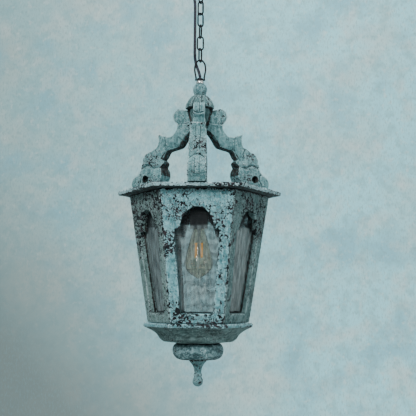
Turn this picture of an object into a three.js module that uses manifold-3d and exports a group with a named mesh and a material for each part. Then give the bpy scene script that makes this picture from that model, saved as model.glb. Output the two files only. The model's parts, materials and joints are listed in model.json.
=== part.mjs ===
// Hexagonal wooden hanging lantern: three scrolled arms under a carved crown, six
// tapered panels with arched windows, a moulded base, and a chain, cable and canopy.
// Millimetres, +Z up, front face towards -Y. The origin is the centre of the face
// that lies against the ceiling, and everything hangs below it.
import * as THREE from 'three';
import { mergeVertices } from 'three/addons/utils/BufferGeometryUtils.js';
import Module from 'manifold-3d';

const wasm = await Module();
wasm.setup();

// ---------------------------------------------------------------- driving dimensions

// Clearances
const seatGap = 0.3; // between two pieces that touch
const threadGap = 0.3; // round a rod, tube or screw in its hole

// Ceiling fitting
const barLength = 96;
const barWidth = 22;
const barThickness = 3;
const barSlotLength = 12;
const barSlotWidth = 5;
const barSlotSpacing = 76;
const bossRadius = 8;
const bossLength = 11;
const canopyRadius = 54;
const canopyHeight = 34;
const canopyWall = 1.6;
const canopyFaceRadius = 34;
const terminalLength = 16;
const terminalWidth = 18;
const terminalHeight = 12;
const gripWall = 3; // around the cable
const gripLength = 12;
const gripLockRing = 3; // thickness of the ring that holds it inside the canopy
const gripOffset = 24; // from the hook to the cable's way out of the canopy
const hookRodRadius = 3.6;
const hookEyeRadius = 9; // to the middle of the wire
const hookWire = 5;
const hookNutRadius = 10;
const hookNutLength = 6;
const hookNeck = 4; // bare rod between the nut and the eye

// Chain, counted from the bail upwards
const linkWire = 3.5;
const linkInnerLength = 28.3;
const linkOuterWidth = 17;
const linkYaws = [66, 0, -70, 32, -32, 58]; // degrees about the chain's line

// Bail and the top of the hanger tube
const bailWire = 3.8;
const bailHalfWidth = 12.4; // to the middle of the wire
const bailHeight = 46.2; // from the pins to the middle of the wire at the top
const bailWidestHeight = 23;
const bailPinRadius = 1.3;
const bailPinDepth = 1.8; // how far each pin goes into the head
const headRadius = 7.1;
const headHeight = 6.8;
const headLip = 1.8;
const tubeRadius = 5;
const tubeBore = 3.6;
const nutRadius = 8.6;
const nutHeight = 6.4;

// Crown
const knobHeight = 27;
const knobNeckRadius = 13.6;
const knobRadius = 16.4;
const knobTopRadius = 10.2;
const crownHeight = 31.5;
const crownRadius = 33.5;
const crownTopRadius = 18;
const hubRadius = 23;
const hubHeight = 50;
const hubTop = 200; // above the roof plate's underside

// Scrolled arms: r from the lantern's axis, z from the roof plate's underside
const armCount = 3;
const armTopThickness = 25.5;
const armFootThickness = 41;
const armFootShare = 0.8514; // of the roof plate's radius, to the middle of the foot's roll
const volute = { r: 42, z: 187, radius: 15.5 };
const footRollHeight = 36;
const footRollRadius = 19;
const armHoleInset = 20.5; // from the middle of the foot's roll
const armHoleHeight = 46;
const armHoleRadius = 7.5;
const armScrewInset = 49.5; // from the middle of the foot's roll
const armScrewRadius = 2.2;
const armScrewHead = 4.5;
const armScrewDepth = 20; // into the arm

// Roof plate and body
const roofRadius = 185; // to a corner
const roofThickness = 11;
const roofEdge = 2; // worn chamfer
const bodyTopRadius = 159; // to a corner of the panels
const bodyBottomRadius = 114.2;
const bodyHeight = 283;
const panelThickness = 18;
const mitreGap = 0.3;

// Windows, measured down and across the face of a panel
const windowTopRail = 38.8;
const archHalfWidth = 36;
const archRise = 47.6;
const shoulderStep = 11.6;
const windowBottomRail = 20.8;
const windowStile = 24.6; // measured level, from the window to the panel's corner
const screenThickness = 0.8;
const screenOverlap = 6;

// Door in the rear panel
const doorBottomClearance = 3.6;
const hingeLength = 26;
const hingeLeaf = 13;
const hingeThickness = 1.2;
const hingeKnuckle = 2.6;
const hingePin = 1.2;
const hingeRunningGap = 0.3;
const hingeInset = 52; // from a panel's end to the middle of the hinge
const pullRadius = 7;
const pullLength = 13;
const pullNeck = 3.4;

// Base
const trayRadius = 122; // to a corner
const trayEdge = 9.7;
const trayHeight = 44.2;
const trayFootRadius = 57;
const trayRecessDepth = 16;
const trayRecessRadius = 92;
const discTopRadius = 50;
const discRadius = 57;
const discBottomRadius = 43;
const discHeight = 36.5;
const finialHeight = 58.5;
const finialTopRadius = 19.5;
const finialNeckRadius = 8.3;
const finialBallRadius = 12.7;
const rodRadius = 3;
const rodInFinial = 27;
const rodNutRadius = 5.6;
const rodNutHeight = 5;

// Lampholder and bulb
const lockNutRadius = 9;
const lockNutHeight = 5;
const holderDrop = 15; // bare tube between the locknut and the lampholder
const tubeInHolder = 8;
const holderRadius = 20;
const holderWall = 1.6;
const holderCapHeight = 19;
const holderShellHeight = 40;
const insulatorFloor = 6;
const insulatorDepth = 30;
const bulbCapRadius = 13.2;
const bulbCapHeight = 26;
const bulbContact = 4.8;
const bulbRadius = 32;
const bulbLength = 140; // with its cap
const bulbNeckRadius = 12.4;
const bulbWall = 0.9;
const filamentLength = 34;
const filamentRadius = 1.1;
const filamentSpread = 9;

// Cable
const cableWidth = 6.6;
const cableThickness = 3.6;
const cableOffset = 12.6; // from the chain's line to the cable's middle

// ---------------------------------------------------------------- shared shape tools

const object = new THREE.Group();

// A welded, outward-facing copy of a closed geometry, with no leftover attributes.
function closed(geometry) {
  const bare = geometry.clone();
  bare.deleteAttribute('normal');
  bare.deleteAttribute('uv');
  const welded = mergeVertices(bare, 1e-4);
  const corner = welded.index.array;
  const at = welded.attributes.position;
  const a = new THREE.Vector3();
  const b = new THREE.Vector3();
  const c = new THREE.Vector3();
  const kept = [];
  let volume = 0;
  for (let i = 0; i < corner.length; i += 3) {
    const [p, q, s] = [corner[i], corner[i + 1], corner[i + 2]];
    if (p === q || q === s || s === p) continue;
    kept.push(p, q, s);
    a.fromBufferAttribute(at, p);
    b.fromBufferAttribute(at, q);
    c.fromBufferAttribute(at, s);
    volume += a.dot(b.cross(c));
  }
  if (volume < 0) kept.reverse();
  welded.setIndex(kept);
  return welded;
}

// A closed geometry as a solid for cutting and joining.
function solid(geometry) {
  const shell = closed(geometry);
  return new wasm.Manifold(
    new wasm.Mesh({
      numProp: 3,
      vertProperties: new Float32Array(shell.attributes.position.array),
      triVerts: new Uint32Array(shell.index.array),
    }),
  );
}

// A solid back as a geometry.
function geometryOf(body) {
  const mesh = body.getMesh();
  const geometry = new THREE.BufferGeometry();
  geometry.setAttribute('position', new THREE.BufferAttribute(mesh.vertProperties, 3));
  geometry.setIndex(new THREE.BufferAttribute(mesh.triVerts, 1));
  return geometry;
}

// A named piece with its own finish, added to a group.
function piece(name, geometry, finish, parent) {
  const material = new THREE.MeshStandardMaterial(finish);
  const mesh = new THREE.Mesh(closed(geometry), material);
  mesh.name = name;
  parent.add(mesh);
  return mesh;
}

// A profile of [radius, height] pairs turned about the Z axis.
function turned(profile, segments, start = 0) {
  const points = profile.map(([r, z]) => new THREE.Vector2(r, z));
  return new THREE.LatheGeometry(points, segments, start).rotateX(Math.PI / 2);
}

// The same with six flat sides, one of them facing the front.
function sixSided(profile) {
  return turned(profile, 6, Math.PI / 6);
}

// A ring or bush between two radii and two heights.
function ring(outer, inner, low, high, segments) {
  const profile = [[inner, low], [outer, low], [outer, high], [inner, high], [inner, low]];
  return turned(profile, segments);
}

// A rod or disc on the Z axis.
function rod(radius, low, high, segments) {
  return turned([[0, low], [radius, low], [radius, high], [0, high]], segments);
}

// A six-sided nut with a round bore.
function hexNut(radius, bore, low, high) {
  return geometryOf(solid(rod(radius, low, high, 6)).subtract(solid(rod(bore, low - 1, high + 1, 20))));
}

// A flat shape drawn in X and Z, given a thickness along Y and centred on it.
function board(shape, thickness, curveSegments = 8) {
  const geometry = new THREE.ExtrudeGeometry(shape, {
    depth: thickness,
    bevelEnabled: false,
    curveSegments,
  });
  return geometry.translate(0, 0, -thickness / 2).rotateX(Math.PI / 2);
}

// A round section of a given diameter for a wire or a cord.
function roundSection(diameter, sides) {
  const section = new THREE.Shape();
  for (let i = 0; i < sides; i += 1) {
    const turn = (2 * Math.PI * (i + 0.5)) / sides;
    const x = (diameter / 2) * Math.cos(turn);
    const y = (diameter / 2) * Math.sin(turn);
    if (i === 0) section.moveTo(x, y);
    else section.lineTo(x, y);
  }
  section.closePath();
  return section;
}

function degrees(angle) {
  return (angle * Math.PI) / 180;
}

// ---------------------------------------------------------------- finishes

const paintedWood = { color: 0x86a9ad, roughness: 0.75, metalness: 0 };
const agedPaint = { color: 0x7196a0, roughness: 0.8, metalness: 0 };
const blackSteel = { color: 0x16181a, roughness: 0.45, metalness: 0.8 };
const brightSteel = { color: 0xd8dcdc, roughness: 0.2, metalness: 1 };
const zincSteel = { color: 0x9a9c98, roughness: 0.4, metalness: 0.9 };
const screenWire = { color: 0x2c3134, roughness: 0.5, metalness: 0.6 };
const bakelite = { color: 0x1a1715, roughness: 0.35, metalness: 0 };
const smokedGlass = { color: 0x8a7a5c, roughness: 0.05, metalness: 0 };
const filamentGlow = { color: 0xe08a3c, roughness: 0.4, metalness: 0 };
const nickel = { color: 0xb8b4a8, roughness: 0.3, metalness: 1 };
const brassWorn = { color: 0x8d7a4b, roughness: 0.4, metalness: 0.9 };
const blackFlex = { color: 0x15181c, roughness: 0.5, metalness: 0 };

// ---------------------------------------------------------------- heights, top to bottom

const linkPitch = linkInnerLength - seatGap;
const linkCentreLength = linkInnerLength + linkWire; // middle of wire to middle of wire
const barUnderside = -barThickness;
const canopyUnderside = -canopyHeight;
const gripBore = cableWidth / 2 + 2 * threadGap;
const gripRadius = gripBore + gripWall;
const gripNeck = gripBore + gripWall / 3;
const hookNutTop = canopyUnderside - seatGap;
const hookNutUnderside = hookNutTop - hookNutLength;
const eyeTop = hookNutUnderside - hookNeck;
const eyeMiddle = eyeTop - hookWire / 2 - hookEyeRadius;
const eyeLowest = eyeMiddle - hookEyeRadius; // middle of the wire
const topLinkHigh = eyeLowest + (hookWire + linkWire) / 2 + seatGap;
const topLinkLow = topLinkHigh - linkCentreLength;
const bottomLinkLow = topLinkLow - (linkYaws.length - 1) * linkPitch;
const bailHigh = bottomLinkLow + (linkWire + bailWire) / 2 + seatGap;
const bailPinZ = bailHigh - bailHeight;
const headUnderside = -headHeight / 2; // from the pins
const crownUnderside = hubTop + seatGap;
const crownTop = crownUnderside + crownHeight;
const knobUnderside = crownTop + seatGap;
const knobTop = knobUnderside + knobHeight;
const nutUnderside = knobTop + seatGap;
const headLow = nutUnderside + nutHeight + seatGap;
const pinAboveRoof = headLow - headUnderside;

// The lantern is drawn from its own datum, the underside of the roof plate.
const roofZ = bailPinZ - pinAboveRoof;
const lantern = new THREE.Group();
lantern.position.z = roofZ;
object.add(lantern);

// ---------------------------------------------------------------- ceiling fitting

function makeCeilingBar() {
  const strip = new THREE.BoxGeometry(barLength, barWidth, barThickness);
  strip.translate(0, 0, -barThickness / 2);
  const boss = rod(bossRadius, barUnderside - bossLength, -barThickness / 2, 24);
  const bore = rod(hookRodRadius + threadGap, barUnderside - bossLength - 1, barUnderside, 20);
  let body = solid(strip).add(solid(boss)).subtract(solid(bore));
  for (const side of [-1, 1]) {
    const slot = new THREE.BoxGeometry(barSlotWidth, barSlotLength, barThickness * 3);
    slot.translate((side * barSlotSpacing) / 2, 0, 0);
    body = body.subtract(solid(slot));
  }
  return geometryOf(body);
}

function makeCanopy() {
  const inner = canopyRadius - canopyWall;
  const bore = hookRodRadius + threadGap;
  const profile = [
    [inner, 0],
    [canopyRadius, 0],
    [canopyRadius, -canopyHeight * 0.18],
    [canopyRadius - 3, -canopyHeight * 0.45],
    [canopyFaceRadius + 9, -canopyHeight * 0.82],
    [canopyFaceRadius, canopyUnderside],
    [bore, canopyUnderside],
    [bore, canopyUnderside + canopyWall],
    [canopyFaceRadius - canopyWall / 2, canopyUnderside + canopyWall],
    [canopyFaceRadius + 9 - canopyWall, -canopyHeight * 0.82 + canopyWall / 2],
    [inner - 3, -canopyHeight * 0.45],
    [inner, -canopyHeight * 0.18],
    [inner, 0],
  ];
  const hole = rod(gripNeck + threadGap, canopyUnderside - 1, canopyUnderside + 5, 20);
  hole.translate(-gripOffset, 0, 0);
  return geometryOf(solid(turned(profile, 28)).subtract(solid(hole)));
}

// A bush through the canopy: a flange below it, a nut above it, and the cable inside.
function makeCordGrip() {
  const flange = canopyUnderside - seatGap;
  const lockRing = canopyUnderside + canopyWall + seatGap;
  const profile = [
    [gripBore, flange - gripLength],
    [gripNeck, flange - gripLength],
    [gripRadius, flange - gripLength * 0.4],
    [gripRadius, flange],
    [gripNeck, flange],
    [gripNeck, lockRing],
    [gripRadius, lockRing],
    [gripRadius, lockRing + gripLockRing],
    [gripBore, lockRing + gripLockRing],
    [gripBore, flange - gripLength],
  ];
  return turned(profile, 20).translate(-gripOffset, 0, 0);
}

function makeTerminalBlock() {
  const block = new THREE.BoxGeometry(terminalLength, terminalWidth, terminalHeight);
  return block.translate(-gripOffset, 0, barUnderside - seatGap - terminalHeight / 2);
}

// A threaded rod with a closed eye, across the top link.
function makeHook() {
  const eye = new THREE.TorusGeometry(hookEyeRadius, hookWire / 2, 8, 20);
  eye.rotateX(Math.PI / 2);
  eye.translate(0, 0, eyeMiddle);
  const stem = rod(hookRodRadius, eyeMiddle + hookEyeRadius, barUnderside - seatGap, 20);
  const both = geometryOf(solid(eye).add(solid(stem)));
  return both.rotateZ(degrees(linkYaws[linkYaws.length - 1] + 90));
}

piece('ceiling_bar', makeCeilingBar(), zincSteel, object);
piece('canopy', makeCanopy(), blackSteel, object);
piece('cord_grip', makeCordGrip(), bakelite, object);
piece('terminal_block', makeTerminalBlock(), bakelite, object);
piece('canopy_hook', makeHook(), blackSteel, object);
const hookNut = ring(
  hookNutRadius,
  hookRodRadius + threadGap,
  hookNutUnderside,
  hookNutTop,
  24,
);
piece('canopy_nut', hookNut, blackSteel, object);

// ---------------------------------------------------------------- chain

// One welded link, upright, its middle at the origin and its flat in X and Z.
function makeLink() {
  const bend = (linkOuterWidth - linkWire) / 2;
  const straight = linkCentreLength / 2 - bend;
  const outline = new THREE.Path();
  outline.absarc(0, straight, bend, 0, Math.PI, false);
  outline.absarc(0, -straight, bend, Math.PI, 2 * Math.PI, false);
  outline.closePath();
  const points = outline.getSpacedPoints(24).slice(0, -1);
  const middle = points.map((p) => new THREE.Vector3(p.x, 0, p.y));
  const curve = new THREE.CatmullRomCurve3(middle, true);
  return new THREE.TubeGeometry(curve, 24, linkWire / 2, 6, true);
}

const linkShape = makeLink();
linkYaws.forEach((yaw, index) => {
  const link = piece(`chain_link_${index + 1}`, linkShape, blackSteel, object);
  link.rotation.z = degrees(yaw);
  link.position.z = bottomLinkLow + index * linkPitch + linkCentreLength / 2;
});

// ---------------------------------------------------------------- bail

// An egg-shaped loop of round bar, open at the foot, with a pin turned on each end.
function makeBail() {
  const footX = headRadius + seatGap + bailWire / 2;
  const footZ = -bailWire / 2 - seatGap;
  const rise = bailHeight - bailWidestHeight;
  const half = new THREE.CurvePath();
  half.add(new THREE.CubicBezierCurve3(
    new THREE.Vector3(footX, 0, footZ),
    new THREE.Vector3(footX, 0, bailWidestHeight * 0.45),
    new THREE.Vector3(bailHalfWidth, 0, bailWidestHeight * 0.6),
    new THREE.Vector3(bailHalfWidth, 0, bailWidestHeight),
  ));
  half.add(new THREE.CubicBezierCurve3(
    new THREE.Vector3(bailHalfWidth, 0, bailWidestHeight),
    new THREE.Vector3(bailHalfWidth, 0, bailWidestHeight + rise * 0.62),
    new THREE.Vector3(bailHalfWidth * 0.5, 0, bailHeight),
    new THREE.Vector3(0, 0, bailHeight),
  ));
  const right = half.getSpacedPoints(12);
  const left = right.slice(0, -1).reverse().map((p) => new THREE.Vector3(-p.x, 0, p.z));
  const curve = new THREE.CatmullRomCurve3([...right, ...left]);
  let body = solid(new THREE.ExtrudeGeometry(roundSection(bailWire, 6), {
    steps: 22,
    extrudePath: curve,
    bevelEnabled: false,
  }));
  for (const side of [-1, 1]) {
    const pin = rod(bailPinRadius, headRadius - bailPinDepth, footX, 10);
    pin.rotateY((side * Math.PI) / 2);
    body = body.add(solid(pin));
  }
  return geometryOf(body);
}

piece('bail', makeBail(), blackSteel, object).position.z = bailPinZ;

// ---------------------------------------------------------------- hanger tube and its fittings

const tubeTop = pinAboveRoof + headHeight / 2 - headLip - seatGap;
const holderTop = -seatGap - lockNutHeight - holderDrop;
const tubeBottom = holderTop - tubeInHolder;

// The head that the bail turns in: it is screwed on the tube and lets the cable in.
function makeHead() {
  const low = pinAboveRoof - headHeight / 2;
  const high = pinAboveRoof + headHeight / 2;
  const onTube = tubeRadius + threadGap;
  const profile = [
    [onTube, low],
    [headRadius, low],
    [headRadius, high - 1],
    [headRadius - 1, high],
    [tubeBore, high],
    [tubeBore, high - headLip],
    [onTube, high - headLip],
    [onTube, low],
  ];
  const pinHole = rod(bailPinRadius + threadGap, -2 * headRadius, 2 * headRadius, 12);
  pinHole.rotateY(Math.PI / 2);
  pinHole.translate(0, 0, pinAboveRoof);
  return geometryOf(solid(turned(profile, 24)).subtract(solid(pinHole)));
}

piece('bail_head', makeHead(), blackSteel, lantern);
piece(
  'collar_nut',
  ring(nutRadius, tubeRadius + threadGap, nutUnderside, nutUnderside + nutHeight, 24),
  brightSteel,
  lantern,
);
piece('hanger_tube', ring(tubeRadius, tubeBore, tubeBottom, tubeTop, 20), zincSteel, lantern);
piece(
  'tube_locknut',
  hexNut(lockNutRadius, tubeRadius + threadGap, -seatGap - lockNutHeight, -seatGap),
  zincSteel,
  lantern,
);

// ---------------------------------------------------------------- crown

const tubeHole = tubeRadius + threadGap;

function makeKnob() {
  const profile = [
    [tubeHole, knobUnderside],
    [knobNeckRadius, knobUnderside],
    [knobNeckRadius + 0.4, knobUnderside + knobHeight * 0.16],
    [knobRadius - 0.8, knobUnderside + knobHeight * 0.34],
    [knobRadius, knobUnderside + knobHeight * 0.5],
    [knobRadius - 0.7, knobUnderside + knobHeight * 0.68],
    [knobRadius - 3, knobUnderside + knobHeight * 0.86],
    [knobTopRadius, knobTop],
    [tubeHole, knobTop],
    [tubeHole, knobUnderside],
  ];
  return turned(profile, 24);
}

function makeCrown() {
  const flare = crownRadius - crownTopRadius;
  const profile = [
    [tubeHole, crownUnderside],
    [crownRadius, crownUnderside],
    [crownRadius - flare * 0.06, crownUnderside + crownHeight * 0.2],
    [crownRadius - flare * 0.2, crownUnderside + crownHeight * 0.44],
    [crownRadius - flare * 0.42, crownUnderside + crownHeight * 0.68],
    [crownRadius - flare * 0.72, crownUnderside + crownHeight * 0.88],
    [crownTopRadius, crownTop],
    [tubeHole, crownTop],
    [tubeHole, crownUnderside],
  ];
  return turned(profile, 30);
}

piece('top_knob', makeKnob(), paintedWood, lantern);
piece('crown_cap', makeCrown(), paintedWood, lantern);
piece('crown_hub', ring(hubRadius, tubeHole, hubTop - hubHeight, hubTop, 24), agedPaint, lantern);

// ---------------------------------------------------------------- scrolled arms

const footRoll = { r: armFootShare * roofRadius, z: footRollHeight, radius: footRollRadius };
const armHole = { r: footRoll.r - armHoleInset, z: armHoleHeight, radius: armHoleRadius };
const armScrewPlace = footRoll.r - armScrewInset; // from the lantern's axis

// The side view of an arm, out from the axis and up from the roof plate.
function armOutline() {
  const hubFace = hubRadius + seatGap;
  const base = roofThickness + seatGap;
  const { r: vr, z: vz, radius: vRadius } = volute;
  const { r: fr, z: fz, radius: fRadius } = footRoll;
  // a point from its shares of the foot's reach and of the hub's height
  const at = (out, up) => [out * fr, up * hubTop];
  const toe = 0.6413 * fr; // inner end of the foot
  const shape = new THREE.Shape();
  shape.moveTo(hubFace, hubTop - hubHeight + 2);
  shape.lineTo(hubFace, hubTop - 4);
  shape.lineTo(vr + vRadius * Math.cos(degrees(138)), vz + vRadius * Math.sin(degrees(138)));
  shape.absarc(vr, vz, vRadius, degrees(138), degrees(-72), true);
  // hollow under the volute, then the long leaf that stands out
  shape.bezierCurveTo(...at(0.292, 0.815), ...at(0.3428, 0.76), ...at(0.419, 0.705));
  shape.quadraticCurveTo(...at(0.5079, 0.7325), ...at(0.6063, 0.7425));
  shape.bezierCurveTo(...at(0.5904, 0.67), ...at(0.6285, 0.61), ...at(0.692, 0.57));
  // shoulder, then down its back to the foot
  shape.bezierCurveTo(...at(0.7365, 0.53), ...at(0.7873, 0.53), ...at(0.8317, 0.52));
  shape.bezierCurveTo(...at(0.8952, 0.485), ...at(0.9079, 0.42), ...at(0.9269, 0.35));
  shape.quadraticCurveTo(...at(0.965, 0.335), ...at(0.9777, 0.3));
  shape.lineTo(fr + fRadius * Math.cos(degrees(62)), fz + fRadius * Math.sin(degrees(62)));
  shape.absarc(fr, fz, fRadius, degrees(62), degrees(-58), true);
  shape.lineTo(fr, base);
  shape.lineTo(toe, base);
  // up the inner side, with its three cusps
  shape.quadraticCurveTo(toe, fz, ...at(0.6095, 0.225));
  shape.bezierCurveTo(...at(0.5714, 0.265), ...at(0.5777, 0.32), ...at(0.6158, 0.3625));
  shape.lineTo(...at(0.5587, 0.41));
  shape.quadraticCurveTo(...at(0.5777, 0.44), ...at(0.6095, 0.455));
  shape.bezierCurveTo(...at(0.546, 0.485), ...at(0.5587, 0.53), ...at(0.5143, 0.545));
  shape.quadraticCurveTo(...at(0.419, 0.565), ...at(0.3555, 0.575));
  shape.bezierCurveTo(...at(0.3746, 0.62), ...at(0.3174, 0.67), ...at(0.2349, 0.75));
  shape.closePath();
  const hole = new THREE.Path();
  hole.absarc(armHole.r, armHole.z, armHole.radius, 0, 2 * Math.PI, false);
  shape.holes.push(hole);
  return shape;
}

// How thick an arm is at a height: slim at the volute, broad at the foot.
function armThickness(z) {
  const foot = 2 * roofThickness;
  const top = volute.z - volute.radius;
  const share = THREE.MathUtils.clamp((z - foot) / (top - foot), 0, 1);
  return armFootThickness + (armTopThickness - armFootThickness) * share * share;
}

function makeArm() {
  const geometry = board(armOutline(), 2, 5);
  const at = geometry.attributes.position;
  for (let i = 0; i < at.count; i += 1) {
    at.setY(i, (Math.sign(at.getY(i)) * armThickness(at.getZ(i))) / 2);
  }
  const pilot = rod(
    armScrewRadius + threadGap,
    roofThickness - 1,
    roofThickness + armScrewDepth + 1,
    10,
  );
  pilot.translate(armScrewPlace, 0, 0);
  return geometryOf(solid(geometry).subtract(solid(pilot)));
}

// A countersunk wood screw, up through the roof plate into an arm's foot.
function makeArmScrew() {
  const profile = [
    [0, 0],
    [armScrewHead, 0],
    [armScrewRadius, armScrewHead - armScrewRadius],
    [armScrewRadius, roofThickness + armScrewDepth - 4],
    [0, roofThickness + armScrewDepth],
  ];
  return turned(profile, 12).translate(armScrewPlace, 0, 0);
}

const armNames = ['front', 'right', 'left'];
const armShape = makeArm();
const armScrewShape = makeArmScrew();
function armTurn(index) {
  return -Math.PI / 2 + (index * 2 * Math.PI) / armCount;
}
armNames.forEach((name, index) => {
  piece(`arm_${name}`, armShape, paintedWood, lantern).rotation.z = armTurn(index);
  piece(`arm_screw_${name}`, armScrewShape, zincSteel, lantern).rotation.z = armTurn(index);
});

// ---------------------------------------------------------------- roof plate

function makeRoofPlate() {
  const profile = [
    [0, 0],
    [roofRadius - roofEdge, 0],
    [roofRadius, roofEdge],
    [roofRadius, roofThickness - roofEdge],
    [roofRadius - roofEdge, roofThickness],
    [0, roofThickness],
  ];
  let body = solid(sixSided(profile));
  body = body.subtract(solid(rod(tubeHole, -1, roofThickness + 1, 20)));
  const sink = [
    [0, -1],
    [armScrewHead + threadGap + 1, -1],
    [armScrewRadius + threadGap, armScrewHead - armScrewRadius],
    [armScrewRadius + threadGap, roofThickness + 1],
    [0, roofThickness + 1],
  ];
  for (let index = 0; index < armCount; index += 1) {
    const screwHole = turned(sink, 12).translate(armScrewPlace, 0, 0).rotateZ(armTurn(index));
    body = body.subtract(solid(screwHole));
  }
  return geometryOf(body);
}

piece('roof_plate', makeRoofPlate(), paintedWood, lantern);

// ---------------------------------------------------------------- panels

const cosCorner = Math.cos(Math.PI / 6);
const topApothem = bodyTopRadius * cosCorner;
const bottomApothem = bodyBottomRadius * cosCorner;
const taper = Math.atan((topApothem - bottomApothem) / bodyHeight);
const slopeLength = bodyHeight / Math.cos(taper);
const narrowing = (bodyTopRadius - bodyBottomRadius) / 2 / slopeLength; // half width lost per mm

// Places a shape drawn on a panel's face (x across, z down the slope, y inwards).
function onFrontFace(geometry) {
  return geometry.rotateX(taper).translate(0, -topApothem, 0);
}

// Half the window's width at a distance down the face.
function windowHalfWidth(down) {
  return bodyTopRadius / 2 - windowStile - narrowing * down;
}

function windowOutline() {
  const springing = windowTopRail + archRise;
  const sill = slopeLength - windowBottomRail;
  const shape = new THREE.Shape();
  shape.moveTo(-windowHalfWidth(sill), -sill);
  shape.lineTo(windowHalfWidth(sill), -sill);
  shape.lineTo(archHalfWidth + shoulderStep, -springing);
  shape.lineTo(archHalfWidth, -springing);
  shape.absellipse(0, -springing, archHalfWidth, archRise, 0, Math.PI, false, 0);
  shape.lineTo(-archHalfWidth - shoulderStep, -springing);
  shape.closePath();
  return shape;
}

// The front panel, mitred at its sides. The others are turned copies.
function makePanel(bottomClearance) {
  const slack = panelThickness / Math.cos(taper) / cosCorner;
  const high = -seatGap;
  const low = -bodyHeight + bottomClearance;
  const radiusAt = (z) => bodyTopRadius + ((bodyTopRadius - bodyBottomRadius) * z) / bodyHeight;
  const shell = sixSided([
    [radiusAt(high) - slack, high],
    [radiusAt(low) - slack, low],
    [radiusAt(low), low],
    [radiusAt(high), high],
    [radiusAt(high) - slack, high],
  ]);
  const reach = 2 * bodyTopRadius;
  const apex = mitreGap / 2 / Math.sin(Math.PI / 6);
  const sector = new THREE.Shape();
  sector.moveTo(0, -apex);
  sector.lineTo(-reach * Math.tan(Math.PI / 6), -apex - reach);
  sector.lineTo(reach * Math.tan(Math.PI / 6), -apex - reach);
  sector.closePath();
  const wedge = new THREE.ExtrudeGeometry(sector, { depth: 2 * bodyHeight, bevelEnabled: false });
  wedge.translate(0, 0, -1.5 * bodyHeight);
  const cutter = onFrontFace(board(windowOutline(), 4 * panelThickness, 12));
  return geometryOf(solid(shell).intersect(solid(wedge)).subtract(solid(cutter)));
}

// Woven wire behind the window, as one plain sheet stapled to the panel's inner face.
function makeScreen() {
  const high = windowTopRail - screenOverlap;
  const low = slopeLength - windowBottomRail + screenOverlap;
  const wide = windowHalfWidth(high) + screenOverlap;
  const narrow = windowHalfWidth(low) + screenOverlap;
  const shape = new THREE.Shape();
  shape.moveTo(-narrow, -low);
  shape.lineTo(narrow, -low);
  shape.lineTo(wide, -high);
  shape.lineTo(-wide, -high);
  shape.closePath();
  const sheet = board(shape, screenThickness);
  sheet.translate(0, panelThickness + seatGap + screenThickness / 2, 0);
  return onFrontFace(sheet);
}

const sideNames = ['front', 'front_right', 'rear_right', 'rear', 'rear_left', 'front_left'];
const panelShape = makePanel(seatGap);
const doorShape = makePanel(doorBottomClearance);
const screenShape = makeScreen();
sideNames.forEach((name, index) => {
  const turn = (index * Math.PI) / 3;
  const shape = name === 'rear' ? doorShape : panelShape;
  piece(`panel_${name}`, shape, index % 2 ? agedPaint : paintedWood, lantern).rotation.z = turn;
  piece(`screen_${name}`, screenShape, screenWire, lantern).rotation.z = turn;
});

// ---------------------------------------------------------------- door hinges and pull

// The hinge line runs up the corner between the rear and the rear left panels. Here it
// is drawn on the front face's left corner, and turned to the rear with the door.
const cornerLean = Math.atan((bodyTopRadius - bodyBottomRadius) / bodyHeight);
const pinStandOff = (hingeKnuckle + seatGap + 0.1) / cosCorner;
const hingeLeafStart = hingeKnuckle * 0.35; // off the corner, clear of the knuckles
const doorSide = -1;

// A strip of the leaf's sheet metal on one face, from one distance off the corner to another.
function hingeStrip(side, from, to, low, high) {
  const strip = new THREE.BoxGeometry(to - from, hingeThickness, high - low);
  const y = -seatGap - hingeThickness / 2;
  strip.translate((side * (from + to)) / 2, y, (low + high) / 2);
  return solid(strip.rotateZ((side * Math.PI) / 6));
}

// A stretch of knuckle with the strip that joins it to its leaf.
function knuckle(side, low, high) {
  const barrel = rod(hingeKnuckle, low, high, 14).translate(0, -pinStandOff, 0);
  return solid(barrel).add(hingeStrip(side, -pinStandOff / 2, hingeLeafStart + 1, low, high));
}

// One half of a hinge, upright, the corner's outward direction being -Y.
// The door's leaf has the middle knuckle, and the fixed leaf the other two and the pin.
function makeHingeHalf(side) {
  const leaf = hingeStrip(side, hingeLeafStart, hingeLeaf, -hingeLength / 2, hingeLength / 2);
  const middle = hingeLength / 6;
  if (side === doorSide) {
    const bore = rod(hingePin + hingeRunningGap, -hingeLength, hingeLength, 12);
    bore.translate(0, -pinStandOff, 0);
    const turning = knuckle(side, -middle + hingeRunningGap, middle - hingeRunningGap);
    return leaf.add(turning).subtract(solid(bore));
  }
  const pin = rod(hingePin, -hingeLength / 2, hingeLength / 2, 12);
  pin.translate(0, -pinStandOff, 0);
  const lower = knuckle(side, -hingeLength / 2, -middle);
  const upper = knuckle(side, middle, hingeLength / 2);
  return leaf.add(lower).add(upper).add(solid(pin));
}

// Places a hinge half on the rear left corner, a distance down the panels' edge.
function placeHinge(name, half, down) {
  const hinge = piece(name, geometryOf(half), brassWorn, lantern);
  const z = -down * Math.cos(cornerLean);
  const radius = bodyTopRadius - down * Math.sin(cornerLean);
  const corner = degrees(120); // from the rear's +Y, towards -X
  const outward = new THREE.Vector3(Math.cos(corner), Math.sin(corner), 0);
  const up = outward.clone().multiplyScalar(Math.sin(cornerLean));
  up.z = Math.cos(cornerLean);
  const sideways = new THREE.Vector3().crossVectors(outward.clone().negate(), up).normalize();
  const inward = new THREE.Vector3().crossVectors(up, sideways);
  hinge.setRotationFromMatrix(new THREE.Matrix4().makeBasis(sideways, inward, up));
  hinge.position.copy(outward.multiplyScalar(radius));
  hinge.position.z = z;
}

const hingePlaces = { upper: hingeInset, lower: slopeLength - hingeInset };
for (const [place, down] of Object.entries(hingePlaces)) {
  placeHinge(`hinge_${place}_fixed_leaf`, makeHingeHalf(-doorSide), down);
  placeHinge(`hinge_${place}_door_leaf`, makeHingeHalf(doorSide), down);
}

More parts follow.
